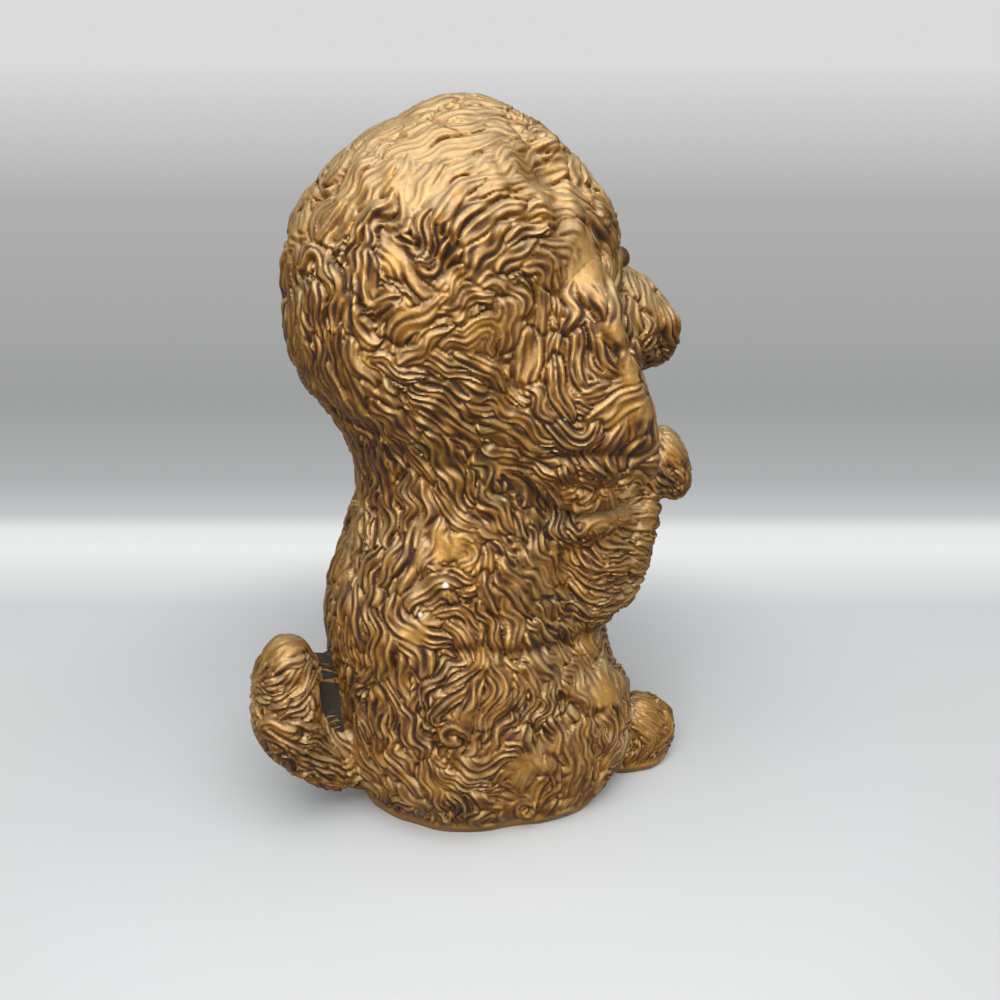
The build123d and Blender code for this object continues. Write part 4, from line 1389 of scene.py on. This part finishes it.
class CHALKWARE_OT_halves(ChalkwareOperator):
    """Make the two hollow half castings, each of a head piece and a body piece"""

    bl_idname = "chalkware.halves"
    bl_label = "Half castings"

    def execute(self, context):
        whole = mended(blank("shells"), "whole")
        for name, side in SIDES.items():
            half = whole.copy()
            cut(half, (0, 0, 0), (-side, 0, 0))
            cut(half, (0, 0, 0), (0, 0, -1))
            hollow = shell_faces(name + "_shell", True)
            holes = [e for e in open_edges(hollow)
                     if all(abs(v.co.x) > ON_FACE and v.co.z > ON_FACE for v in e.verts)]
            bmesh.ops.holes_fill(hollow, edges=holes, sides=0)
            for face in hollow.faces:
                face.material_index = 1
            join(half, hollow)
            close_half(half)
            mended(half, name)
            for part, piece in neck_parts(half).items():
                finish_piece(piece, f"{name}_half_{part}", ["paint", "plaster"], [name + "_shell"])
            half.free()
        whole.free()
        return {"FINISHED"}


def neck_parts(half):
    """A half's head and body, parted at the neck, or a little lower where the cut can't be closed."""
    level = bpy.context.scene.chalkware_skin.neck_level
    for lower in range(NECK_TRIES):
        parts = {"head": half.copy(), "body": half.copy()}
        for piece, way in zip(parts.values(), (1, -1)):
            fill(piece, cut(piece, (0, 0, level - lower * NECK_STEP), (0, 0, -way)))
        if not any([close_gaps(piece) for piece in parts.values()]):
            break
    return parts


def close_half(half):
    """Closes the parting face and the base ring between a half's skin and its hollow."""
    edges = open_edges(half)
    parting = [edge for edge in edges if all(abs(vert.co.x) < ON_PLANE for vert in edge.verts)]
    ground = [edge for edge in edges if all(abs(vert.co.z) < ON_PLANE for vert in edge.verts)]
    verts = {vert for edge in ground for vert in edge.verts}
    corners = sorted((vert for vert in verts if abs(vert.co.x) < ON_PLANE), key=lambda vert: vert.co.y)
    joined = [half.edges.new((corners[0], corners[1])), half.edges.new((corners[2], corners[3]))]
    profile = []
    for chain in loops_of(parting):
        if any(vert in corners for edge in chain for vert in edge.verts):
            profile += chain
        else:
            fill(half, chain)
    fill(half, profile + joined)
    fill(half, ground + joined)


class CHALKWARE_OT_ears(ChalkwareOperator):
    """Make the two hanging ears and the smeared plaster over their roots"""

    bl_idname = "chalkware.ears"
    bl_label = "Ears"

    def execute(self, context):
        for name in SIDES:
            make_stuck_on(name + "_ear")
            make_stuck_on(name + "_ear_smear")
        return {"FINISHED"}


class CHALKWARE_OT_forelegs(ChalkwareOperator):
    """Make the two forelegs and the smeared plaster over their roots"""

    bl_idname = "chalkware.forelegs"
    bl_label = "Forelegs"

    def execute(self, context):
        for name in SIDES:
            make_stuck_on(name + "_foreleg")
            make_stuck_on(name + "_shoulder_smear")
        return {"FINISHED"}


class CHALKWARE_OT_hind_feet(ChalkwareOperator):
    """Make the two hind feet"""

    bl_idname = "chalkware.hind_feet"
    bl_label = "Hind feet"

    def execute(self, context):
        for name in SIDES:
            make_stuck_on(name + "_hind_foot")
        return {"FINISHED"}


class CHALKWARE_OT_tail(ChalkwareOperator):
    """Make the tail and the web of slip plaster behind it"""

    bl_idname = "chalkware.tail"
    bl_label = "Tail"

    def execute(self, context):
        make_stuck_on("tail")
        make_stuck_on("tail_web", "slip")
        return {"FINISHED"}


class CHALKWARE_OT_inside(ChalkwareOperator):
    """Finish the seam bead and the wires, which stay as packed"""

    bl_idname = "chalkware.inside"
    bl_label = "Bead and wires"

    def execute(self, context):
        looks = {"inner_seam_bead": "plaster", **dict.fromkeys(WIRES, "iron")}
        for node, look in looks.items():
            for slot in frame["nodes"][node].material_slots:
                slot.material = finish(look)
        return {"FINISHED"}


def floor_look():
    """A pale floor that keeps the figure's shadow and fades into paper with painted light and shade behind
    it.

    Seen by the camera, the far floor glows with painted light and shade: a grey that lightens with
    distance, as a lit sweep of paper does, with a painted bright band where it starts to rise.
    """
    stage = bpy.context.scene.chalkware_stage
    made, tree, place = empty_material("matt_paper_floor")
    forward = camera_axes(stage.azimuth, stage.elevation)[2]
    level = Vector((forward.x, forward.y, 0)).normalized()
    away = add(tree, "ShaderNodeVectorMath", {0: place, 1: level}, operation="DOT_PRODUCT").outputs["Value"]
    start = -Vector(stage.camera).dot(level)
    reach = add(tree, "ShaderNodeMath", {0: away, 1: start}, operation="ADD").outputs[0]
    reach = add(tree, "ShaderNodeMath", {0: reach, 1: 0.05}, operation="MAXIMUM").outputs[0]
    steep = add(tree, "ShaderNodeMath", {0: stage.camera[2], 1: reach}, operation="DIVIDE").outputs[0]
    # Painted light and shade of the paper, by how steeply the camera looks down.
    bands = add(tree, "ShaderNodeValToRGB", {"Fac": steep})
    while len(bands.color_ramp.elements) < len(PAPER_PAINTED_LIGHT):
        bands.color_ramp.elements.new(1.0)
    for element, (at, shade) in zip(bands.color_ramp.elements, PAPER_PAINTED_LIGHT.items()):
        element.position = at
        element.color = linear(shade)
    matt = add(tree, "ShaderNodeBsdfDiffuse", {"Color": linear("#BFC1C2")})
    paper = add(tree, "ShaderNodeEmission", {"Color": bands.outputs["Color"]})
    far = add(tree, "ShaderNodeVectorMath", {0: place}, operation="LENGTH").outputs["Value"]
    fade = add(tree, "ShaderNodeMapRange", {
        "Value": far, "From Min": PAPER_FADE[0], "From Max": PAPER_FADE[1]},
        interpolation_type="SMOOTHSTEP").outputs["Result"]
    camera = add(tree, "ShaderNodeLightPath").outputs["Is Camera Ray"]
    share = add(tree, "ShaderNodeMath", {0: fade, 1: camera}, operation="MULTIPLY").outputs[0]
    mix = add(tree, "ShaderNodeMixShader", {
        0: share, 1: matt.outputs["BSDF"], 2: paper.outputs["Emission"]})
    add(tree, "ShaderNodeOutputMaterial", {"Surface": mix.outputs["Shader"]})
    return made


def studio():
    """Soft light from all round, brighter from above, that the camera sees as plain pale grey."""
    stage = bpy.context.scene.chalkware_stage
    world = bpy.data.worlds.new("studio")
    world.use_nodes = True
    tree = world.node_tree
    tree.nodes.clear()
    way = add(tree, "ShaderNodeTexCoord").outputs["Generated"]
    up = add(tree, "ShaderNodeSeparateXYZ", {0: way}).outputs["Z"]
    above = add(tree, "ShaderNodeMapRange", {
        "Value": up, "From Min": -0.1, "From Max": 0.9, "To Min": 0.0, "To Max": 1.0}).outputs["Result"]
    shade = add(tree, "ShaderNodeMix", {
        "Factor": above, 6: linear("#8D8B88"), 7: linear("#F4F6F8")}, data_type="RGBA")
    light = add(tree, "ShaderNodeBackground", {"Color": shade.outputs[2], "Strength": stage.surroundings})
    plain = add(tree, "ShaderNodeBackground", {"Color": linear("#DADADB"), "Strength": 1.0})
    camera = add(tree, "ShaderNodeLightPath").outputs["Is Camera Ray"]
    mix = add(tree, "ShaderNodeMixShader", {
        0: camera, 1: light.outputs["Background"], 2: plain.outputs["Background"]})
    add(tree, "ShaderNodeOutputWorld", {"Surface": mix.outputs["Shader"]})
    return world


class CHALKWARE_OT_stage(ChalkwareOperator):
    """Make the floor, the light and the camera"""

    bl_idname = "chalkware.stage"
    bl_label = "Stage"

    def execute(self, context):
        stage = context.scene.chalkware_stage
        bm = bmesh.new()
        bmesh.ops.create_grid(bm, x_segments=1, y_segments=1, size=FLOOR_SIZE)
        floor = object_from("floor", bm)
        floor.data.materials.append(floor_look())
        context.scene.world = studio()
        right, up, forward = camera_axes(stage.azimuth, stage.elevation)
        data = bpy.data.cameras.new("camera")
        data.lens = stage.lens
        data.sensor_width = SENSOR_WIDTH
        data.clip_start = 0.01
        camera = bpy.data.objects.new("camera", data)
        turned = Matrix((right, up, -forward)).transposed().to_4x4()
        camera.matrix_world = Matrix.Translation(Vector(stage.camera)) @ turned
        context.scene.collection.objects.link(camera)
        context.scene.camera = camera
        for name, (spot, size, share) in LAMPS.items():
            lamp = bpy.data.lights.new(name, "AREA")
            lamp.size = size
            lamp.energy = stage.lamp_power * share
            holder = bpy.data.objects.new(name, lamp)
            holder.location = spot
            aim = Vector((0, 0, AIM_HEIGHT)) - Vector(spot)
            holder.rotation_euler = aim.to_track_quat("-Z", "Y").to_euler()
            context.scene.collection.objects.link(holder)
        context.scene.view_settings.view_transform = "Standard"
        return {"FINISHED"}


class CHALKWARE_PT_panel(bpy.types.Panel):
    """Lists the figure's operators"""

    bl_label = "Chalkware dog"
    bl_idname = "CHALKWARE_PT_panel"
    bl_space_type = "VIEW_3D"
    bl_region_type = "UI"
    bl_category = "Chalkware"

    def draw(self, context):
        for operator in OPERATORS:
            self.layout.operator(operator.bl_idname)


SETTINGS = {
    "chalkware_skin": SkinSettings,
    "chalkware_coat": CoatSettings,
    "chalkware_paint": PaintSettings,
    "chalkware_stage": StageSettings,
}
OPERATORS = [
    CHALKWARE_OT_skin, CHALKWARE_OT_halves, CHALKWARE_OT_ears, CHALKWARE_OT_forelegs,
    CHALKWARE_OT_hind_feet, CHALKWARE_OT_tail, CHALKWARE_OT_inside, CHALKWARE_OT_stage,
]


def register():
    """Registers the settings, the operators and the panel."""
    for name, group in SETTINGS.items():
        bpy.utils.register_class(group)
        setattr(bpy.types.Scene, name, PointerProperty(type=group))
    for each in OPERATORS + [CHALKWARE_PT_panel]:
        bpy.utils.register_class(each)


def unregister():
    """Takes everything back that register added."""
    for each in reversed(OPERATORS + [CHALKWARE_PT_panel]):
        bpy.utils.unregister_class(each)
    for name, group in SETTINGS.items():
        delattr(bpy.types.Scene, name)
        bpy.utils.unregister_class(group)


def main():
    """Makes the whole figure."""
    register()
    bpy.ops.chalkware.skin()
    bpy.ops.chalkware.halves()
    bpy.ops.chalkware.ears()
    bpy.ops.chalkware.forelegs()
    bpy.ops.chalkware.hind_feet()
    bpy.ops.chalkware.tail()
    bpy.ops.chalkware.inside()
    bpy.ops.chalkware.stage()


if __name__ == "__main__":
    main()
